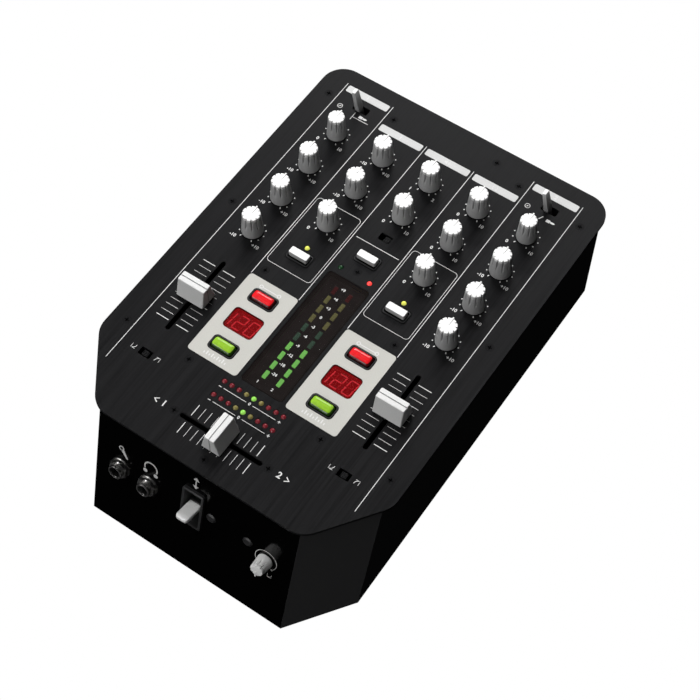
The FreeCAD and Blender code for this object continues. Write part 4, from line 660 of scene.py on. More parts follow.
capMesh = faderCapMesh()
for name, turn in (("ch1", 90), ("ch2", 90), ("cross", 0)):
    place = onPanel("fader_cap_" + name) @ Matrix.Rotation(math.radians(turn), 4, "Z")
    placePiece("faderCap_" + name, capMesh, "fader_" + name, ("fader_cap_" + name,), place)
print("fader caps cut")


# Toggles, keys, slide nubs and the reverse lever

toggleForm = {  # heights from the pivot; thickness and width in the slot, above it and at the tip
    "tilt": -12.5, "tail": 3.6, "neck": 6.4, "swell": 7.3, "tip": 21.3, "edge": 0.2, "corner": 0.35,
    "sharp": 40,
    "root": (2.8, 4.6), "waist": (3.3, 5.4), "head": (2.5, 4.2), "end": (2.2, 3.9, 0.3),
}


def toggleMesh():
    # Flat bat drawn from its pivot: a blade in the slot, tapering to a tip painted white as a highlight.
    shape = bmesh.new()
    levels = ((-toggleForm["tail"], "root"), (toggleForm["neck"], "root"), (toggleForm["swell"], "waist"),
              (toggleForm["tip"] - toggleForm["edge"], "head"))
    loops = [[(x, y, z) for x, y in oblong(*toggleForm[part], toggleForm["corner"])] for z, part in levels]
    loft(shape, loops, 0, (True, False))
    tip = [[(x, y, toggleForm["tip"]) for x, y in oblong(*toggleForm["end"])]]
    loft(shape, loops[-1:] + tip, 1, (False, True))
    return makeMesh("toggleBat", shape, ("nylonMouldedGrey", "absWhiteAndTipHighlight"), toggleForm["sharp"])


batMesh = toggleMesh()
for node in ("toggle_ch1", "toggle_ch2"):
    tilt = Matrix.Rotation(math.radians(toggleForm["tilt"]), 4, "Y")
    place = Matrix.Translation(joints[node]["pos_m"]) @ tilt
    placePiece(node + "_bat", batMesh, node, (node,), place)

# The keys' feet, black up to the line, are painted shade down in the wells
keyForm = {"foot": -4.0, "line": 0.6, "steps": 10, "sharp": 50}  # black up to the line
lampKey = {"base": (14.6, 7.2, 2.0), "head": (14.2, 6.8, 2.0), "proud": 3.0, "roll": (3.2, 1.9), "shade": 0.4}
keySets = {  # length, width and corner at the panel and at the top; height; the top's roll, inward and upward
    "white": {"base": (13.0, 5.0, 0.9), "head": (12.7, 4.75, 0.8), "proud": 3.9, "roll": (0.3, 0.3),
              "shade": 0.0, "finishes": ("absBlackPaintedShade", "absGreyAndPaintedShade", "absWhiteAndTipHighlight"),
              "names": ("mic_on", "monitor", "effect"), "bezel": "key"},
    "red": {**lampKey, "finishes": ("absBlackPaintedShade", "polycarbonateRedShade", "polycarbonateRedLit"),
            "names": ("sync_ch1", "sync_ch2"), "bezel": "lamp"},
    "green": {**lampKey, "finishes": ("absBlackPaintedShade", "polycarbonateGreenShade", "polycarbonateGreenLit"),
              "names": ("beat_ch1", "beat_ch2"), "bezel": "lamp"},
}


def keyMesh(colour):
    # Painted shade: black where it stands in the well and darker on its flanks; bright on top.
    form = keySets[colour]
    length, width, radius = form["head"]
    inward, upward = form["roll"]
    shoulder, steps = form["proud"] - upward, keyForm["steps"]
    rings = [(keyForm["foot"], form["base"]), (keyForm["line"], form["base"]), (shoulder, form["head"])]
    for i in range(1, steps + 1):
        turn = math.pi / 2 * i / steps
        trim = inward * (1 - math.cos(turn))
        size = (length - 2 * trim, width - 2 * trim, max(radius - trim, tightR))
        rings.append((shoulder + upward * math.sin(turn), size))
    loops = [[(x, y, z) for x, y in oblong(*size)] for z, size in rings]
    bright = 2 + round(form["shade"] * steps)
    shape = bmesh.new()
    loft(shape, loops[:2], 0, (True, False))
    loft(shape, loops[1:bright + 1], 1, (False, False))
    loft(shape, loops[bright:], 2, (False, True))
    return makeMesh("key_" + colour, shape, form["finishes"], keyForm["sharp"])


for colour, form in keySets.items():
    mesh = keyMesh(colour)
    for node in ["key_" + name for name in form["names"]]:
        placePiece(node + "_cap", mesh, node, (node,), onPanel(node))

nubForm = {"size": (4.0, 3.6, 0.3), "top": -0.7, "edge": 0.2, "foot": -9.0,
           "ribs": 3, "ribWidth": 0.5, "ribDepth": 0.4}


def nubMesh():
    # Ribbed across its top for the fingertip.
    shape = bmesh.new()
    size, top, edge, ribs = pick(nubForm, "size", "top", "edge", "ribs")
    length, width = size[:2]
    addBlock(shape, (nubForm["foot"], *size), (top - edge, *size), edge)
    mesh = makeMesh("slideNub", shape, ("absMouldedBlack",))
    grooves = bmesh.new()
    for i in range(ribs):
        outline = oblong(nubForm["ribWidth"], 2 * width, tightR, 1, (i - (ribs - 1) / 2) * length / ribs)
        prism(grooves, outline, (top - nubForm["ribDepth"], top + through))
    return carve(mesh, grooves, 0)


nub = nubMesh()
for node in [n for n in frame["nodes"] if n.startswith("slide_")]:
    placePiece(node + "_nub", nub, node, (node,), onPanel(node))

leverForm = {"width": 8.2, "thick": 2.9, "root": 1.6, "reach": 15.8, "corner": 2.2, "edge": 0.5,
             "hubR": 2.4, "sharp": 45}


def leverMesh():
    # Drawn from its pivot: a flat white paddle, rounded at its tip's corners, on a black hub.
    shape = bmesh.new()
    half, edge, corner = leverForm["width"] / 2, leverForm["edge"], leverForm["corner"]
    across, along = half - corner, leverForm["reach"] - corner
    loops = []
    for y, inset in ((-1, 1), (-1, 0), (1, 0), (1, 1)):
        trim = inset * edge
        level = y * (leverForm["thick"] / 2 - (0 if inset else edge))
        outline = [(-half + trim, leverForm["root"]), (half - trim, leverForm["root"])]
        outline += arc(across, along, corner - trim, 0, 90, 5)
        outline += arc(-across, along, corner - trim, 90, 180, 5)
        loops.append([(x, level, z) for x, z in outline])
    loft(shape, loops, 0)
    hub = ringAt(leverForm["hubR"], 0.0, roundSteps)
    loft(shape, [[(x, y, z) for y, z, _ in hub] for x in (-half, half)], 1)
    return makeMesh("leverPaddle", shape, ("absMouldedPale", "absMouldedBlack"), leverForm["sharp"])


leverFace = frontPlace.copy()
leverFace.translation = joints["reverse_lever"]["pos_m"]
placePiece("reverse_lever_paddle", leverMesh(), "reverse_lever", ("reverse_lever",), leverFace)
# On the keys' bezels the outside and the well are painted shade, and the flat rim is painted light
bezelForm = {  # finishes: outside, flat rim, well
    "edge": 0.35, "rim": 0.8, "lip": 0.1, "sharp": 30, "finishes": (0, 1, 0),
    "proud": 0.3, "depth": 2.0, "foot": 3.0,
    "key": {"size": (16.2, 9.3, 2.0), "hole": (13.6, 5.6, 1.2)},
    "lamp": {"size": (17.9, 10.5, 2.6), "hole": (15.2, 7.8, 2.3)},
    "lever": {"size": (14.8, 30.0, 1.6), "hole": (10.0, 25.2, 0.5), "rim": 1.2, "finishes": (1, 1, 1),
              "proud": 2.0, "foot": 8.0, "set": 4.2},
}


def addBezel(shape, kind, place):
    # A rounded frame with a flat rim round its well.
    form = {**bezelForm, **bezelForm[kind]}
    edge, lip, top, foot = form["edge"], form["lip"], form["proud"], form["foot"]
    inner = edge + form["rim"]
    steps = [("size", 0.0, -foot), ("size", 0.0, top - edge / 2), ("size", edge, top), ("size", inner, top),
             ("size", inner + lip, top - lip), ("hole", 0.0, -form["depth"]), ("hole", 0.0, -foot)]
    loops = []
    for part, inset, z in steps:
        length, width, radius = form[part]
        outline = oblong(length - 2 * inset, width - 2 * inset, max(radius - inset, lip))
        loops.append([place @ Vector((x, y, z)) for x, y in outline])
    outside, face, well = form["finishes"]
    loft(shape, loops[:3], outside, (False, False))
    loft(shape, loops[2:4], face, (False, False))
    loft(shape, loops[3:] + loops[:1], well, (False, False))


shape = bmesh.new()
for form in keySets.values():
    for name in form["names"]:
        x, y = axisOf("key_" + name)
        addBezel(shape, form["bezel"], Matrix.Translation((x / mm, y / mm, panelHigh.z / mm)))
bezelFace = frontPlace.copy()
bezelShift = faceOut * bezelForm["lever"]["set"] * mm
bezelFace.translation = (Vector(joints["reverse_lever"]["pos_m"]) + bezelShift) / mm
addBezel(shape, "lever", bezelFace)
mesh = makeMesh("bezels", shape, ("absBlackPaintedShade", "absBlackPaintedLight"), bezelForm["sharp"])
placePiece("switch_bezels_moulded", mesh, "housing", ("switch_bezels",))
print("switches made")


# Lamps, meter bars and displays

lampForm = {"radius": 1.5, "proud": 0.9, "foot": -2.0, "steps": 6, "rowPitch": 5.08,
            "rowYs": (-87.36, -97.66), "sideX": 34.25, "midX": 10.15, "singleY": 13.05}
barForm = {"x": 5.0, "size": (2.2, 5.2, 0.2), "edge": 0.15, "pitch": 7.62, "top": -2.7, "foot": -12.0,
           "lip": 1.5, "margin": 8.8}  # the window's hidden lip, and from it to the first bar
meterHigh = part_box("meter_window")[1]
barFirstY = (meterHigh.y - panelMid.y) / mm - barForm["lip"] - barForm["margin"]


def addRoundLamp(shape, x, y, material):
    radius, neck, steps = lampForm["radius"], lampForm["proud"] - lampForm["radius"], lampForm["steps"]
    profile = [(radius, lampForm["foot"]), (radius, neck)]
    turns = [math.pi / 2 / steps * i for i in range(1, steps)]
    profile += [(radius * math.cos(t), neck + radius * math.sin(t)) for t in turns]
    profile.append((0.0, lampForm["proud"]))
    lathe(shape, profile, roundSteps, material, x, y)


def addBar(shape, row, material):
    y, edge = barFirstY - row * barForm["pitch"], barForm["edge"]
    for side in (-1, 1):
        addBlock(shape, (barForm["foot"], *barForm["size"]), (barForm["top"] - edge, *barForm["size"]), edge,
                 material, 2, side * barForm["x"], y)


sideX, midX = lampForm["sideX"], lampForm["midX"]
lampPlan = {  # lamps of the two rows, by place and finish; single lamps; bars of the meter
    "red": {"finishes": ("epoxyRedDim", "epoxyRedLit", "barRedDim"),
            "row": [(step, 0) for step in (-4, -3, -2, 2, 3, 4)], "single": ((midX, 1),), "bars": ((0, 2),)},
    "yellow": {"finishes": ("epoxyYellowDim", "epoxyYellowLit", "barYellowDim"),
               "row": ((-1, 0), (1, 0)), "single": ((-sideX, 1), (sideX, 1)),
               "bars": ((1, 2), (2, 2), (3, 2))},
    "green": {"finishes": ("epoxyGreenDim", "epoxyGreenLit", "barGreenDim", "barGreenLit"),
              "row": ((0, 1),), "single": ((-midX, 0),),
              "bars": ((4, 2), (5, 2), (6, 3), (7, 3), (8, 3), (9, 3))},
}
for colour, plan in lampPlan.items():
    shape = bmesh.new()
    for y in lampForm["rowYs"]:
        for step, material in plan["row"]:
            addRoundLamp(shape, step * lampForm["rowPitch"], y, material)
    for x, material in plan["single"]:
        addRoundLamp(shape, x, lampForm["singleY"], material)
    for row, material in plan["bars"]:
        addBar(shape, row, material)
    node = colour + "_lamps"
    mesh = makeMesh(node, shape, plan["finishes"])
    placePiece(node + "_lit", mesh, "housing", (node,), panelPlace)

displayForm = {
    "size": (19.8, 14.7, 2.3), "lensTop": -0.2, "lensFoot": -0.8, "lensEdge": 0.15, "backing": -1.1,
    "foot": -15.0, "digitWidth": 5.2, "digitHeight": 9.8, "digitDown": 0.5, "bar": 0.75, "barT": 0.12,
    "slant": 0.12, "gap": 0.15,
    # Each figure's place, its bars in the usual order from the top round, and those that are lit
    "figures": ((-10.1, "bc", "bc"), (-1.9, "abcdefg", "abged"), (6.2, "abcdefg", "abcdef")),
}


def addFigure(shape, fitted, lit, x, y):
    w, h, t = displayForm["digitWidth"] / 2, displayForm["digitHeight"] / 2, displayForm["bar"] / 2
    ends = {"a": ((-w, h), (w, h)), "b": ((w, h), (w, 0)), "c": ((w, 0), (w, -h)), "d": ((-w, -h), (w, -h)),
            "e": ((-w, 0), (-w, -h)), "f": ((-w, h), (-w, 0)), "g": ((-w, 0), (w, 0))}
    level = displayForm["backing"]
    for bar in fitted:
        start, end = [Vector(point) for point in ends[bar]]
        along = (end - start).normalized()
        across = Vector((-along.y, along.x)) * t
        start, end = start + along * displayForm["gap"], end - along * displayForm["gap"]
        corners = [start, start + along * t + across, end - along * t + across, end,
                   end - along * t - across, start + along * t - across]
        outline = [(x + p.x + p.y * displayForm["slant"], y + p.y) for p in corners]
        prism(shape, outline, (level, level + displayForm["barT"]), 1 if bar in lit else 2)


def addDisplay(shape, x, y):
    size, edge = displayForm["size"], displayForm["lensEdge"]
    prism(shape, oblong(*size, 5, x, y), (displayForm["foot"], displayForm["backing"]))
    for shift, fitted, lit in displayForm["figures"]:
        addFigure(shape, fitted, lit, x + shift, y - displayForm["digitDown"])
    foot, top = displayForm["lensFoot"], displayForm["lensTop"] - edge
    addBlock(shape, (foot, *size), (top, *size), edge, 3, 3, x, y)


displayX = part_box("tempo_displays")[1].x / mm - displayForm["size"][0] / 2
displayY = spotOf("tempo_displays")[1]
shape = bmesh.new()
for side in (-1, 1):
    addDisplay(shape, side * displayX, displayY)
mesh = makeMesh("displays", shape, ("displayBacking", "segmentLit", "segmentDark", "acrylicRedClear"))
placePiece("tempo_displays_lit", mesh, "housing", ("tempo_displays",), panelPlace)
print("lamps and displays lit")


# Front sockets

nutForm = {
    "across": 11.6, "overCorners": 0.58, "footShare": 1.06, "steps": 72, "washerR": 6.7, "washerT": 0.8,
    "washerEdge": 0.3, "nutT": 2.6, "boreR": 4.65, "chamfer": 0.5, "bushR": 4.63, "bushBoreR": 3.2,
    "bushTop": 6.03, "bushDepth": 3.2, "bushEdge": 0.5, "bushRound": 0.2, "turnSteps": 48, "sharp": 25,
}


def hexRing(z, limit, x):
    # A hexagon whose corners are cut back to a circle.
    points = []
    for i in range(nutForm["steps"]):
        turn = 2 * math.pi * i / nutForm["steps"]
        flat = nutForm["across"] / 2 / math.cos((turn + math.pi / 6) % (math.pi / 3) - math.pi / 6)
        reach = min(flat, limit)
        points.append((x + reach * math.cos(turn), reach * math.sin(turn), z))
    return points


def addNut(shape, x):
    bore, wide, low, edge = pick(nutForm, "boreR", "washerR", "washerT", "washerEdge")
    washer = [(bore, 0.0), (wide, 0.0), (wide, low - edge), (wide - edge, low), (bore, low)]
    loftRound(shape, [ringAt(radius, z, nutForm["turnSteps"], x) for radius, z in washer])
    high, rim = low + nutForm["nutT"], nutForm["chamfer"]
    corner, flat = nutForm["across"] * nutForm["overCorners"], nutForm["across"] / 2
    levels = ((low, flat * nutForm["footShare"]), (low + rim, corner), (high - rim, corner), (high, flat))
    rings = [hexRing(z, limit, x) for z, limit in levels]
    loftRound(shape, rings + [ringAt(bore, z, nutForm["steps"], x) for z in (high, low)])
    # The bush's plated end, bevelled at its bore
    outer, inner, edge, soft = pick(nutForm, "bushR", "bushBoreR", "bushEdge", "bushRound")
    high, low = nutForm["bushTop"], nutForm["bushTop"] - nutForm["bushDepth"]
    bush = [(outer, low), (outer, high - soft), (outer - soft, high), (inner + edge, high),
            (inner, high - edge), (inner, low)]
    loftRound(shape, [ringAt(radius, z, nutForm["turnSteps"], x) for radius, z in bush])


shape = bmesh.new()
nutLow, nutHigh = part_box("jack_nuts")
socketXs = [(nutLow.x + nutForm["washerR"] * mm) / mm, (nutHigh.x - nutForm["washerR"] * mm) / mm]
for x in socketXs:
    addNut(shape, x)
mesh = makeMesh("jackNuts", shape, ("brassNickelPlated",), nutForm["sharp"])
placePiece("jack_nuts_plated", mesh, "housing", ("jack_nuts",), frontPlace)
print("front sockets made")


# Rear fittings

rearForm = {
    "proud": 9.0,  # of the phono sleeves
    "postX": -82.5, "nutR": 4.66, "nutT": 5.04, "nutBevel": 0.4, "teeth": 30, "tooth": 0.16,
    "studR": 2.03, "studTop": 8.53, "studSink": 0.2, "studEnd": 0.6, "studBevel": 0.4,
    "threads": 6, "thread": 0.12, "threadCrest": 0.6,
    "usbX": 42.5, "usbSize": (12.0, 11.0), "usbCorner": 2.2, "usbWall": 1.23, "usbSkin": 0.02, "usbEdge": 0.1,
    "usbTop": 0.22, "usbDepth": 6.0,
    "inletX": 62.5, "pinR": 1.03, "pinTop": 0.03, "pinDepth": 5.0, "pinEdge": 0.2, "pinSteps": 20,
    "rockerTilt": 8.0, "rockerValley": 3.0, "rockerSlope": 0.1525,
    "markAt": 3.5, "stroke": (0.7, 3.0), "ring": (1.5, 0.95), "film": (-0.02, 0.04), "ringSteps": 32,
}
rearPlace = Matrix((
    (-1, 0, 0, 0),
    (0, 0, 1, phonoHigh.y - rearForm["proud"] * mm),
    (0, 1, 0, phonoMid),
    (0, 0, 0, 1),
))


def addPost(shape):
    # A thumb nut with pressed teeth on a threaded stud.
    count, thick, bevel = rearForm["teeth"] * 4, rearForm["nutT"], rearForm["nutBevel"]
    loops = []
    for z, inset in ((0.0, 0.0), (thick - bevel, 0.0), (thick, bevel)):
        ring = []
        for i in range(count):
            turn = 2 * math.pi * i / count
            reach = rearForm["nutR"] - inset + rearForm["tooth"] * (i % 4 in (1, 2))
            ring.append((rearForm["postX"] + reach * math.cos(turn), reach * math.sin(turn), z))
        loops.append(ring)
    loft(shape, loops)
    radius, low, high = rearForm["studR"], thick - rearForm["studSink"], rearForm["studTop"]
    pitch = (high - low - rearForm["studEnd"]) / rearForm["threads"]
    profile = [(0.0, low), (radius, low)]
    for i in range(rearForm["threads"]):
        crest = low + pitch * (i + rearForm["threadCrest"])
        profile += [(radius + rearForm["thread"], crest), (radius, low + pitch * (i + 1.0))]
    profile += [(radius - rearForm["studBevel"], high), (0.0, high)]
    lathe(shape, profile, roundSteps, 0, rearForm["postX"])


def usbOutline(inset):
    width, height = [size / 2 - inset for size in rearForm["usbSize"]]
    corner, x = rearForm["usbCorner"], rearForm["usbX"]
    shoulder = height - corner
    return [(x - width, -height), (x + width, -height), (x + width, shoulder), (x + width - corner, height),
            (x - width + corner, height), (x - width, shoulder)]


shape = bmesh.new()
addPost(shape)
wall, skin, edge, top = pick(rearForm, "usbWall", "usbSkin", "usbEdge", "usbTop")
steps = ((-skin, 0.0), (-skin, top - edge), (edge, top), (wall - edge, top), (wall, top - edge),
         (wall, -rearForm["usbDepth"]))
loftRound(shape, [[(x, y, z) for x, y in usbOutline(inset)] for inset, z in steps])
radius, edge, top = rearForm["pinR"], rearForm["pinEdge"], rearForm["pinTop"]
pin = [(radius, -rearForm["pinDepth"]), (radius, top - edge), (radius - edge, top)]
lathe(shape, pin, rearForm["pinSteps"], 0, rearForm["inletX"])
mesh = makeMesh("rearPlated", shape, ("brassNickelPlated",), nutForm["sharp"])
placePiece("rear_terminals_plated", mesh, "housing", (), rearPlace)


def onRocker(u, s, lift):  # a point on the rocker's two slanting halves, seen from its pivot
    return (-u, rearForm["rockerValley"] + rearForm["rockerSlope"] * abs(s) + lift, s)


shape = bmesh.new()
at, (width, length), (outer, inner), (low, high) = pick(rearForm, "markAt", "stroke", "ring", "film")
stroke = [(u * width / 2, at + s * length / 2) for u, s in ((-1, -1), (1, -1), (1, 1), (-1, 1))]
loft(shape, [[onRocker(u, s, lift) for u, s in stroke] for lift in (low, high)])
profile = ((outer, low), (outer, high), (inner, high), (inner, low))
rings = [ringAt(radius, lift, rearForm["ringSteps"], 0.0, -at) for radius, lift in profile]
loftRound(shape, [[onRocker(*point) for point in ring] for ring in rings])
place = Matrix.Translation(joints["power_rocker"]["pos_m"])
place = place @ Matrix.Rotation(math.radians(rearForm["rockerTilt"]), 4, "X")
mesh = makeMesh("rockerMarks", shape, ("screenInkWhite",))
placePiece("power_rocker_marks", mesh, "power_rocker", (), place)
print("rear fitted")


# Printing

inkForm = {"film": 0.03, "sink": 0.01, "mitre": 0.3, "figureShare": 0.73, "steady": 0.03}
film, sink = pick(inkForm, "film", "sink")  # above the surface and below it
sheetLooks = {
    "panelWhite": ("screenInkWhite", panelPlace), "panelPale": ("screenInkPale", panelPlace),
    "panelSilver": ("screenInkSilver", panelPlace), "frontWhite": ("screenInkWhite", frontPlace),
    "windowWhite": ("screenInkWhite", panelPlace),
}
sheets = {name: bmesh.new() for name in sheetLooks}


def inkShape(outline, level=0.0, sheet="panelWhite"):
    prism(sheets[sheet], outline, (level - sink, level + film))


def inkLine(points, width, closed=False, level=0.0, sheet="panelWhite"):
    # Ribbon along a path, mitred at its corners.
    points = [Vector(p) for p in points]
    count = len(points)
    low, high = level - sink, level + film
    rings = []
    for i, point in enumerate(points):
        ways = []
        if i or closed:
            ways.append((point - points[i - 1]).normalized())
        if i + 1 < count or closed:
            ways.append((points[(i + 1) % count] - point).normalized())
        along = sum(ways, Vector((0, 0))).normalized()
        across = Vector((-along.y, along.x)) * width / 2 / max(abs(along.dot(ways[0])), inkForm["mitre"])
        a, b = point + across, point - across
        rings.append([(a.x, a.y, low), (b.x, b.y, low), (b.x, b.y, high), (a.x, a.y, high)])
    loft(sheets[sheet], rings + (rings[:1] if closed else []), 0, (not closed, not closed))


def inkFigures(words, x, y, height, level=0.0, bold=0.035, sheet="panelWhite"):
    curve = bpy.data.curves.new("figures", "FONT")
    curve.body = words
    curve.size = height / inkForm["figureShare"]  # how tall the font's figures are
    curve.align_x = "CENTER"
    curve.align_y = "CENTER"
    curve.resolution_u = 3
    curve.offset = bold * height
    curve.extrude = (film + sink) / 2
    holder = addObject("figures", curve)
    mesh = asBuilt(holder)
    mesh.transform(Matrix.Translation((x, y, level + (film - sink) / 2)))
    sheets[sheet].from_mesh(mesh)
    bpy.data.objects.remove(holder)
    bpy.data.meshes.remove(mesh)


pictograms = {  # about 10 tall; outlines to fill, and lines with their width and whether they close
    "microphone": {"fills": (((-1.25, 1.2), (-0.6, -5.0), (0.6, -5.0), (1.25, 1.2)),),
                   "lines": ((hoop(0, 3.2, 1.5), 0.8, True),)},
    "headphones": {"fills": (disc(-3.5, -3.2, 1.4), disc(3.5, -3.2, 1.4)),
                   "lines": ((arc(0, 0.6, 4.1, -25, 205, 24), 0.9, False),)},
    "speaker": {"fills": (((-5.0, -1.6), (-3.0, -1.6), (0.0, -4.2), (0.0, 4.2), (-3.0, 1.6), (-5.0, 1.6)),),
                "lines": ((arc(0.2, 0, 2.4, -45, 45, 8), 0.9, False),
                          (arc(0.2, 0, 4.6, -45, 45, 10), 0.9, False))},
    "disc": {"fills": (disc(0, 0, 1.2),),
             "lines": ((hoop(0, 0, 4.4), 0.9, True), (arc(0, 0, 2.8, 20, 70, 6), 0.6, False),
                       (arc(0, 0, 2.8, 200, 250, 6), 0.6, False))},
    "plug": {"fills": (((-5.0, -1.7), (-0.8, -1.7), (-0.8, 1.7), (-5.0, 1.7)),
                       ((-0.3, -1.0), (3.6, -1.0), (4.8, 0.0), (3.6, 1.0), (-0.3, 1.0))), "lines": ()},
    "curve": {"fills": (), "lines": ((((-4, 4), (-4, -4), (4, -4)), 0.7, False),
                                     (arc(-4, 4, 8, -90, 0, 14), 0.9, False))},
    "rings": {"fills": (), "lines": ((hoop(-24, 0, 4), 2.2, True), (hoop(24, 0, 4), 2.2, True),
                                     (((-18.5, 0), (18.5, 0)), 2.2, False))},
    "beats": {"fills": tuple(((x - 1.4, -5), (x + 1.4, -5), (x + 1.4, top), (x - 1.4, top))
                             for x, top in [(7 * i, 5 if i % 2 else 0.5) for i in range(-4, 5)]),
              "lines": ()},
    "wayBack": {"fills": (((-6.0, 0.0), (-2.8, 2.6), (-2.8, -2.6)), ((6.0, 0.0), (2.8, -2.6), (2.8, 2.6))),
                "lines": ((((-2.8, 0), (2.8, 0)), 1.1, False),)},
}


def inkPictogram(kind, x, y, height, turn=0.0, level=0.0, sheet="panelWhite"):
    size, place = height / 10, Matrix.Rotation(math.radians(turn), 2)

    def moved(points):
        return [Vector((x, y)) + place @ Vector(p) * size for p in points]

    for outline in pictograms[kind]["fills"]:
        inkShape(moved(outline), level, sheet)
    for points, width, closed in pictograms[kind]["lines"]:
        inkLine(moved(points), width * size, closed, level, sheet)


legend = {
    "line": 0.4, "fine": 0.28, "columnPitch": 34.25, "outerTop": 130.9, "innerTop": 116.7,
    "outerFoot": -112.8, "midX": 15.1, "midY": 36.5, "boxTop": 47.6, "boxFoot": -7.1,
    "boxWidth": 31.15, "boxRadius": 2.2,
    "bar": (30.8, 5.2, 1.0), "outerBarY": 127.7, "innerBarY": 113.4, "barMark": 3.6, "barFigure": 3.0,
    "plateTop": -19.7, "plateFoot": -81.8, "plateWidth": 34.5, "plateRadius": 2.0, "plateMark": 2.6,
    "ringsDown": 4.6, "beatsUp": 3.9, "displayOpening": (20.6, 15.5, 2.6),
}
pitch, plateTop, plateFoot = legend["columnPitch"], legend["plateTop"], legend["plateFoot"]
steady = inkForm["steady"]  # boldness of the larger figures


def printDividers():
    for side in (-1, 1):
        for column, top, foot in ((2.5, legend["outerTop"], legend["outerFoot"]),
                                  (1.5, legend["outerTop"], plateTop), (0.5, legend["innerTop"], plateTop)):
            x = side * column * pitch
            inkLine([(x, foot), (x, top)], legend["line"])
        tall, mid = legend["boxTop"] - legend["boxFoot"], (legend["boxTop"] + legend["boxFoot"]) / 2
        box = oblong(legend["boxWidth"], tall, legend["boxRadius"], 5, side * pitch, mid)
        inkLine(box, legend["fine"], True)
    inkLine([(-legend["midX"], legend["midY"]), (legend["midX"], legend["midY"])], legend["line"])


def printPlates():
    # Label bars, and a plate on each side of the meter with openings for its keys and its display.
    outerY, innerY = legend["outerBarY"], legend["innerBarY"]
    for column, y, mark in ((-2, outerY, "1"), (-1, innerY, "microphone"), (0, innerY, "speaker"),
                            (1, innerY, "headphones"), (2, outerY, "2")):
        x = column * pitch
        inkShape(oblong(*legend["bar"], 5, x, y), 0.0, "panelPale")
        if mark in pictograms:
            inkPictogram(mark, x, y, legend["barMark"], 0, film)
        else:
            inkFigures(mark, x, y, legend["barFigure"], film, steady)
    mid, tall = (plateTop + plateFoot) / 2, plateTop - plateFoot
    for x in (-pitch, pitch):
        plate = oblong(legend["plateWidth"], tall, legend["plateRadius"], 5, x, mid)
        inkShape(plate, 0.0, "panelSilver")
        inkPictogram("rings", x, plateTop - legend["ringsDown"], legend["plateMark"], 0, film)
        inkPictogram("beats", x, plateFoot + legend["beatsUp"], legend["plateMark"], 0, film)


def cutPlates(mesh):
    openings = bmesh.new()
    for side in (-1, 1):
        prism(openings, oblong(*legend["displayOpening"], 5, side * displayX, displayY), (-through, through))
    for name in keySets["red"]["names"] + keySets["green"]["names"]:
        prism(openings, oblong(*bezelForm["lamp"]["size"], 5, *spotOf("key_" + name)), (-through, through))
    return carve(mesh, openings, 0)


scaleForm = {"radius": 8.0, "sweep": 150, "half": 5, "dot": 0.42, "tick": 0.6, "tickWidth": 0.55,
             "endX": 8.1, "endY": -9.0, "figure": 2.3}


def printScales():
    half = scaleForm["half"]
    for node in [n for n in knobNodes if n != "knob_crossfader_curve"]:
        x, y = spotOf(node)
        for i in range(2 * half + 1):
            turn = math.radians(90 - scaleForm["sweep"] * (i / half - 1))
            away = Vector((math.cos(turn), math.sin(turn)))
            spot = Vector((x, y)) + away * scaleForm["radius"]
            if i in (0, 2 * half):
                reach = away * scaleForm["tick"]
                inkLine([spot - reach, spot + reach], scaleForm["tickWidth"])
            else:
                inkShape(disc(spot.x, spot.y, scaleForm["dot"]))
        ends = ("-10", "+10") if node.split("_")[2] in ("high", "mid", "low") else ("0", "10")
        if node.endswith("mix"):
            ends = ("1", "2")
        for side, words in zip((-1, 1), ends):
            inkFigures(words, x + side * scaleForm["endX"], y + scaleForm["endY"], scaleForm["figure"])


faderPrint = {"half": 5, "pitch": 4.5, "thick": 0.45, "thin": 0.24, "channel": (2.8, 11.5),
              "cross": (2.6, 10.4), "figureX": 39.6, "figure": 4.0, "tipX": 46.0, "tip": (2.4, 1.5),
              "tipWidth": 0.55}


def printFaders():
    faderY, crossY = [spotOf("fader_cap_" + name)[1] for name in ("ch1", "cross")]
    half, (near, far), (low, high) = pick(faderPrint, "half", "channel", "cross")
    for i in range(2 * half + 1):
        away = (i - half) * faderPrint["pitch"]
        width = faderPrint["thick" if i in (0, 2 * half) else "thin"]
        for side in (-1, 1):
            x = side * 2 * pitch
            for sign in (-1, 1):
                inkLine([(x + sign * near, faderY + away), (x + sign * far, faderY + away)], width)
            inkLine([(away, crossY + side * low), (away, crossY + side * high)], width)
    back, rise = faderPrint["tip"]
    for side, words in ((-1, "1"), (1, "2")):
        inkFigures(words, side * faderPrint["figureX"], crossY, faderPrint["figure"], 0.0, steady)
        tip = side * faderPrint["tipX"]
        arrow = [(tip - side * back, crossY + rise), (tip, crossY), (tip - side * back, crossY - rise)]
        inkLine(arrow, faderPrint["tipWidth"])


meterPrint = {"figure": 1.9, "x": 0.2, "up": 1.3, "footY": -77.0}


def printMeter():
    level, size = (meterHigh.z - panelMid.z) / mm, meterPrint["figure"]
    for row, words in enumerate(("+9", "+6", "+3", "0", "-3", "-6", "-9", "-12", "-18", "-24")):
        y = barFirstY - row * barForm["pitch"] + meterPrint["up"]
        inkFigures(words, meterPrint["x"], y, size, level, sheet="windowWhite")
    for side, words in ((-1, "1"), (1, "2")):
        inkFigures(words, side * barForm["x"], meterPrint["footY"], size, level, sheet="windowWhite")


tempoPrint = {"down": 4.2, "figure": 2.0, "sign": 0.9, "signWidth": 0.45, "rule": (2.2, 2.4),
              "ruleWidth": 0.3}


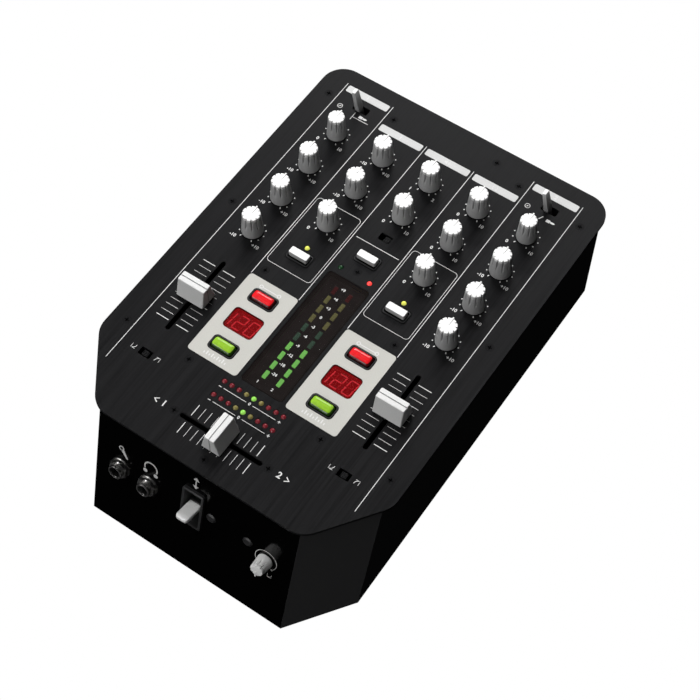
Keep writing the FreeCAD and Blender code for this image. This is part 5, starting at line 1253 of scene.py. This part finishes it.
def printTempoRows():
    sign, (start, end) = tempoPrint["sign"], tempoPrint["rule"]
    reach = 4 * lampForm["rowPitch"]
    for y in [rowY - tempoPrint["down"] for rowY in lampForm["rowYs"]]:
        inkFigures("0", 0, y, tempoPrint["figure"])
        for side in (-1, 1):
            x = side * reach
            inkLine([(x - sign, y), (x + sign, y)], tempoPrint["signWidth"])
            inkLine([(side * start, y), (x - side * end, y)], tempoPrint["ruleWidth"])
        inkLine([(reach, y - sign), (reach, y + sign)], tempoPrint["signWidth"])


switchPrint = {"down": 7.8, "stub": (2.6, 3.6), "rule": 11.8, "stroke": (0.8, 1.5), "disc": (-11.2, 3.0, 3.6),
               "plug": (6.6, 2.2, 6.0), "curve": (8.4, 3.4)}


def printSwitches():
    # Toggles choose between disc and plug, parted by rules on the left and a stroke on the right.
    y = (joints["toggle_ch1"]["pos_m"][1] - panelMid.y) / mm - switchPrint["down"]
    left, right, line = -2 * pitch, 2 * pitch, legend["line"]
    (down, up), (across, tall) = switchPrint["stub"], switchPrint["stroke"]
    inkLine([(left, y - down), (left, y + up)], line)
    inkLine([(left, y), (left + switchPrint["rule"], y)], line)
    inkLine([(right - across, y - tall), (right + across, y + tall)], line)
    (discX, discUp, discSize), (plugX, plugUp, plugSize) = switchPrint["disc"], switchPrint["plug"]
    for x, plugY in ((left, y + plugUp), (right, y)):
        inkPictogram("disc", x + discX, y + discUp, discSize)
        inkPictogram("plug", x + plugX, plugY, plugSize)
    away, size = switchPrint["curve"]
    for node in ("slide_curve_ch1", "slide_curve_ch2"):  # the small slides carry curves
        x, y = spotOf(node)
        for side, turn in ((-1, 0), (1, 180)):
            inkPictogram("curve", x + side * away, y, size, turn)


frontPrint = {  # place from a socket, the middle or the small knob; height and turn of each mark
    "microphone": (socketXs[0] + 1.2, 13.4, 9.7, 35), "headphones": (socketXs[1] + 0.3, 13.9, 10.6, 0),
    "wayBack": (0, 26.0, 8.0, 90), "curve": (curveJoint["pos_m"][0] / mm + 4.0, -11.5, 3.6, 0),
}
dialForm = {"radius": 7.2, "start": -50, "end": 230, "steps": 40, "dot": 0.8}


def printFront():
    # The line of the sockets is y = 0 here.
    for mark, (x, y, size, turn) in frontPrint.items():
        inkPictogram(mark, x, y, size, turn, sheet="frontWhite")
    dial = arc(curveJoint["pos_m"][0] / mm, 0, *pick(dialForm, "radius", "start", "end", "steps"))
    inkLine(dial, legend["line"], sheet="frontWhite")
    for x, y in (dial[0], dial[-1]):
        inkShape(disc(x, y, dialForm["dot"]), 0.0, "frontWhite")


for printPart in (printDividers, printPlates, printScales, printFaders, printMeter, printTempoRows,
                  printSwitches, printFront):
    printPart()
for name, (finish, place) in sheetLooks.items():
    mesh = makeMesh(name, sheets[name], (finish,))
    if name == "panelSilver":
        mesh = cutPlates(mesh)
    piece = placePiece("print_" + name, mesh, "housing", (), place)
    if name == "panelSilver":  # the plates throw no light on the fader beside them
        piece.visible_diffuse = False
        piece.visible_glossy = False
print("printed")


# Stage

stageForm = {
    "eye": (292.294, -410.034, 874.457), "aim": (26.40, -21.73, 91.2), "lens": 82.555, "near": 0.01,
    "floorR": 4000, "floorZ": -0.1, "bendR": 2000, "backdrop": 6000, "floorSteps": 64,
    "paperTone": "#FFFFFF", "dark": "#000000",
    # The sky's tone, where it rises, and where it falls off on the right and how far
    "skyTone": "#505050", "skyRise": (-0.05, 0.4), "skySide": (-0.1, 0.4), "skyFall": (1.0, 0.05),
}
lights = {  # places, aims and sizes in metres
    "key": {"place": (-0.75, 0.95, 1.9), "aim": (0, 0, 0.05), "size": (0.5, 0.5), "watts": 58,
            "gleam": False},  # its image is kept off the panel
    "overhead": {"place": (-0.6, -0.4, 1.9), "aim": (0, 0, 0.05), "size": (0.8, 0.8), "watts": 14,
                 "gleam": False},
    "fill": {"place": (-1.3, -1.7, 1.2), "aim": (0, 0, 0.06), "size": (1.0, 1.0), "watts": 14},
    "corner": {"place": (0.5, -2.2, 0.8), "aim": (0, 0, 0.06), "size": (1.0, 1.0), "watts": 8,
               "gleam": False},
    "nuts": {"place": (-0.2, -2.0, 0.35), "aim": (0, -0.1, 0.05), "size": (0.8, 0.8), "watts": 16,
             "lit": False},  # the nuts' gleam
    "strip": {"place": (-0.72, 1.95, 1.42), "aim": (0, 0, 0.09), "size": (1.6, 0.7), "watts": 22,
              "lit": False},  # the streak along a key
}


def aimAt(item, place, aim):
    item.location = place
    item.rotation_euler = (Vector(aim) - Vector(place)).to_track_quat("-Z", "Y").to_euler()


def setCamera():
    camera = addObject("camera", bpy.data.cameras.new("camera"))
    aimAt(camera, Vector(stageForm["eye"]) * mm, Vector(stageForm["aim"]) * mm)
    camera.data.lens = stageForm["lens"]
    camera.data.clip_start = stageForm["near"]
    bpy.context.scene.camera = camera


def setFloor():
    # Pale paper, turned up into a backdrop all round. It glows by itself, so no shadow shows on it.
    reach, low, bend = stageForm["floorR"], stageForm["floorZ"], stageForm["bendR"]
    profile = [(0, low)] + arc(reach, low + bend, bend, -90, 0, 12) + [(reach + bend, stageForm["backdrop"])]
    shape = bmesh.new()
    lathe(shape, profile, stageForm["floorSteps"])
    mesh = makeMesh("floor", shape, ())
    material = bpy.data.materials.new("paperPale")
    material.use_nodes = True
    sockets = material.node_tree.nodes["Principled BSDF"].inputs
    sockets["Base Color"].default_value = linear(stageForm["dark"])
    sockets["Specular IOR Level"].default_value = 0.0
    sockets["Emission Color"].default_value = linear(stageForm["paperTone"])
    sockets["Emission Strength"].default_value = 1.0
    mesh.materials.append(material)
    floor = addObject("floor", mesh)
    floor.visible_diffuse = False
    floor.visible_glossy = False
    floor.visible_shadow = False
    floor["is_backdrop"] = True


def setWorld():
    # Soft grey above the horizon, dark below it and dim on the right.
    world = bpy.data.worlds.new("studio")
    bpy.context.scene.world = world
    world.use_nodes = True
    tree = world.node_tree
    place = addNode(tree, "ShaderNodeTexCoord")
    way = addNode(tree, "ShaderNodeSeparateXYZ", None, {"Vector": place.outputs["Generated"]})
    (low, high), (left, right), (full, dim) = pick(stageForm, "skyRise", "skySide", "skyFall")
    rise = addNode(tree, "ShaderNodeMapRange", None,
                   {"Value": way.outputs["Z"], "From Min": low, "From Max": high})
    fall = addNode(tree, "ShaderNodeMapRange", None,
                   {"Value": way.outputs["X"], "From Min": left, "From Max": right,
                    "To Min": full, "To Max": dim})
    share = addNode(tree, "ShaderNodeMath", {"operation": "MULTIPLY"},
                    {0: rise.outputs["Result"], 1: fall.outputs["Result"]})
    sky = addNode(tree, "ShaderNodeMix", {"data_type": "RGBA"},
                  {"Factor": share.outputs["Value"], 6: linear(stageForm["dark"]),
                   7: linear(stageForm["skyTone"])})
    tree.links.new(sky.outputs[2], tree.nodes["Background"].inputs["Color"])


def addLight(name, place, aim, size, watts, lit=True, gleam=True):
    data = bpy.data.lights.new(name, "AREA")
    data.shape = "RECTANGLE"
    data.size, data.size_y = size
    data.energy = watts
    light = addObject(name, data)
    aimAt(light, place, aim)
    light.visible_diffuse = lit
    light.visible_glossy = gleam


setCamera()
setFloor()
setWorld()
for name, settings in lights.items():
    addLight(name, **settings)
bpy.context.scene.view_settings.view_transform = "Standard"
print("stage set")

low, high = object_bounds()
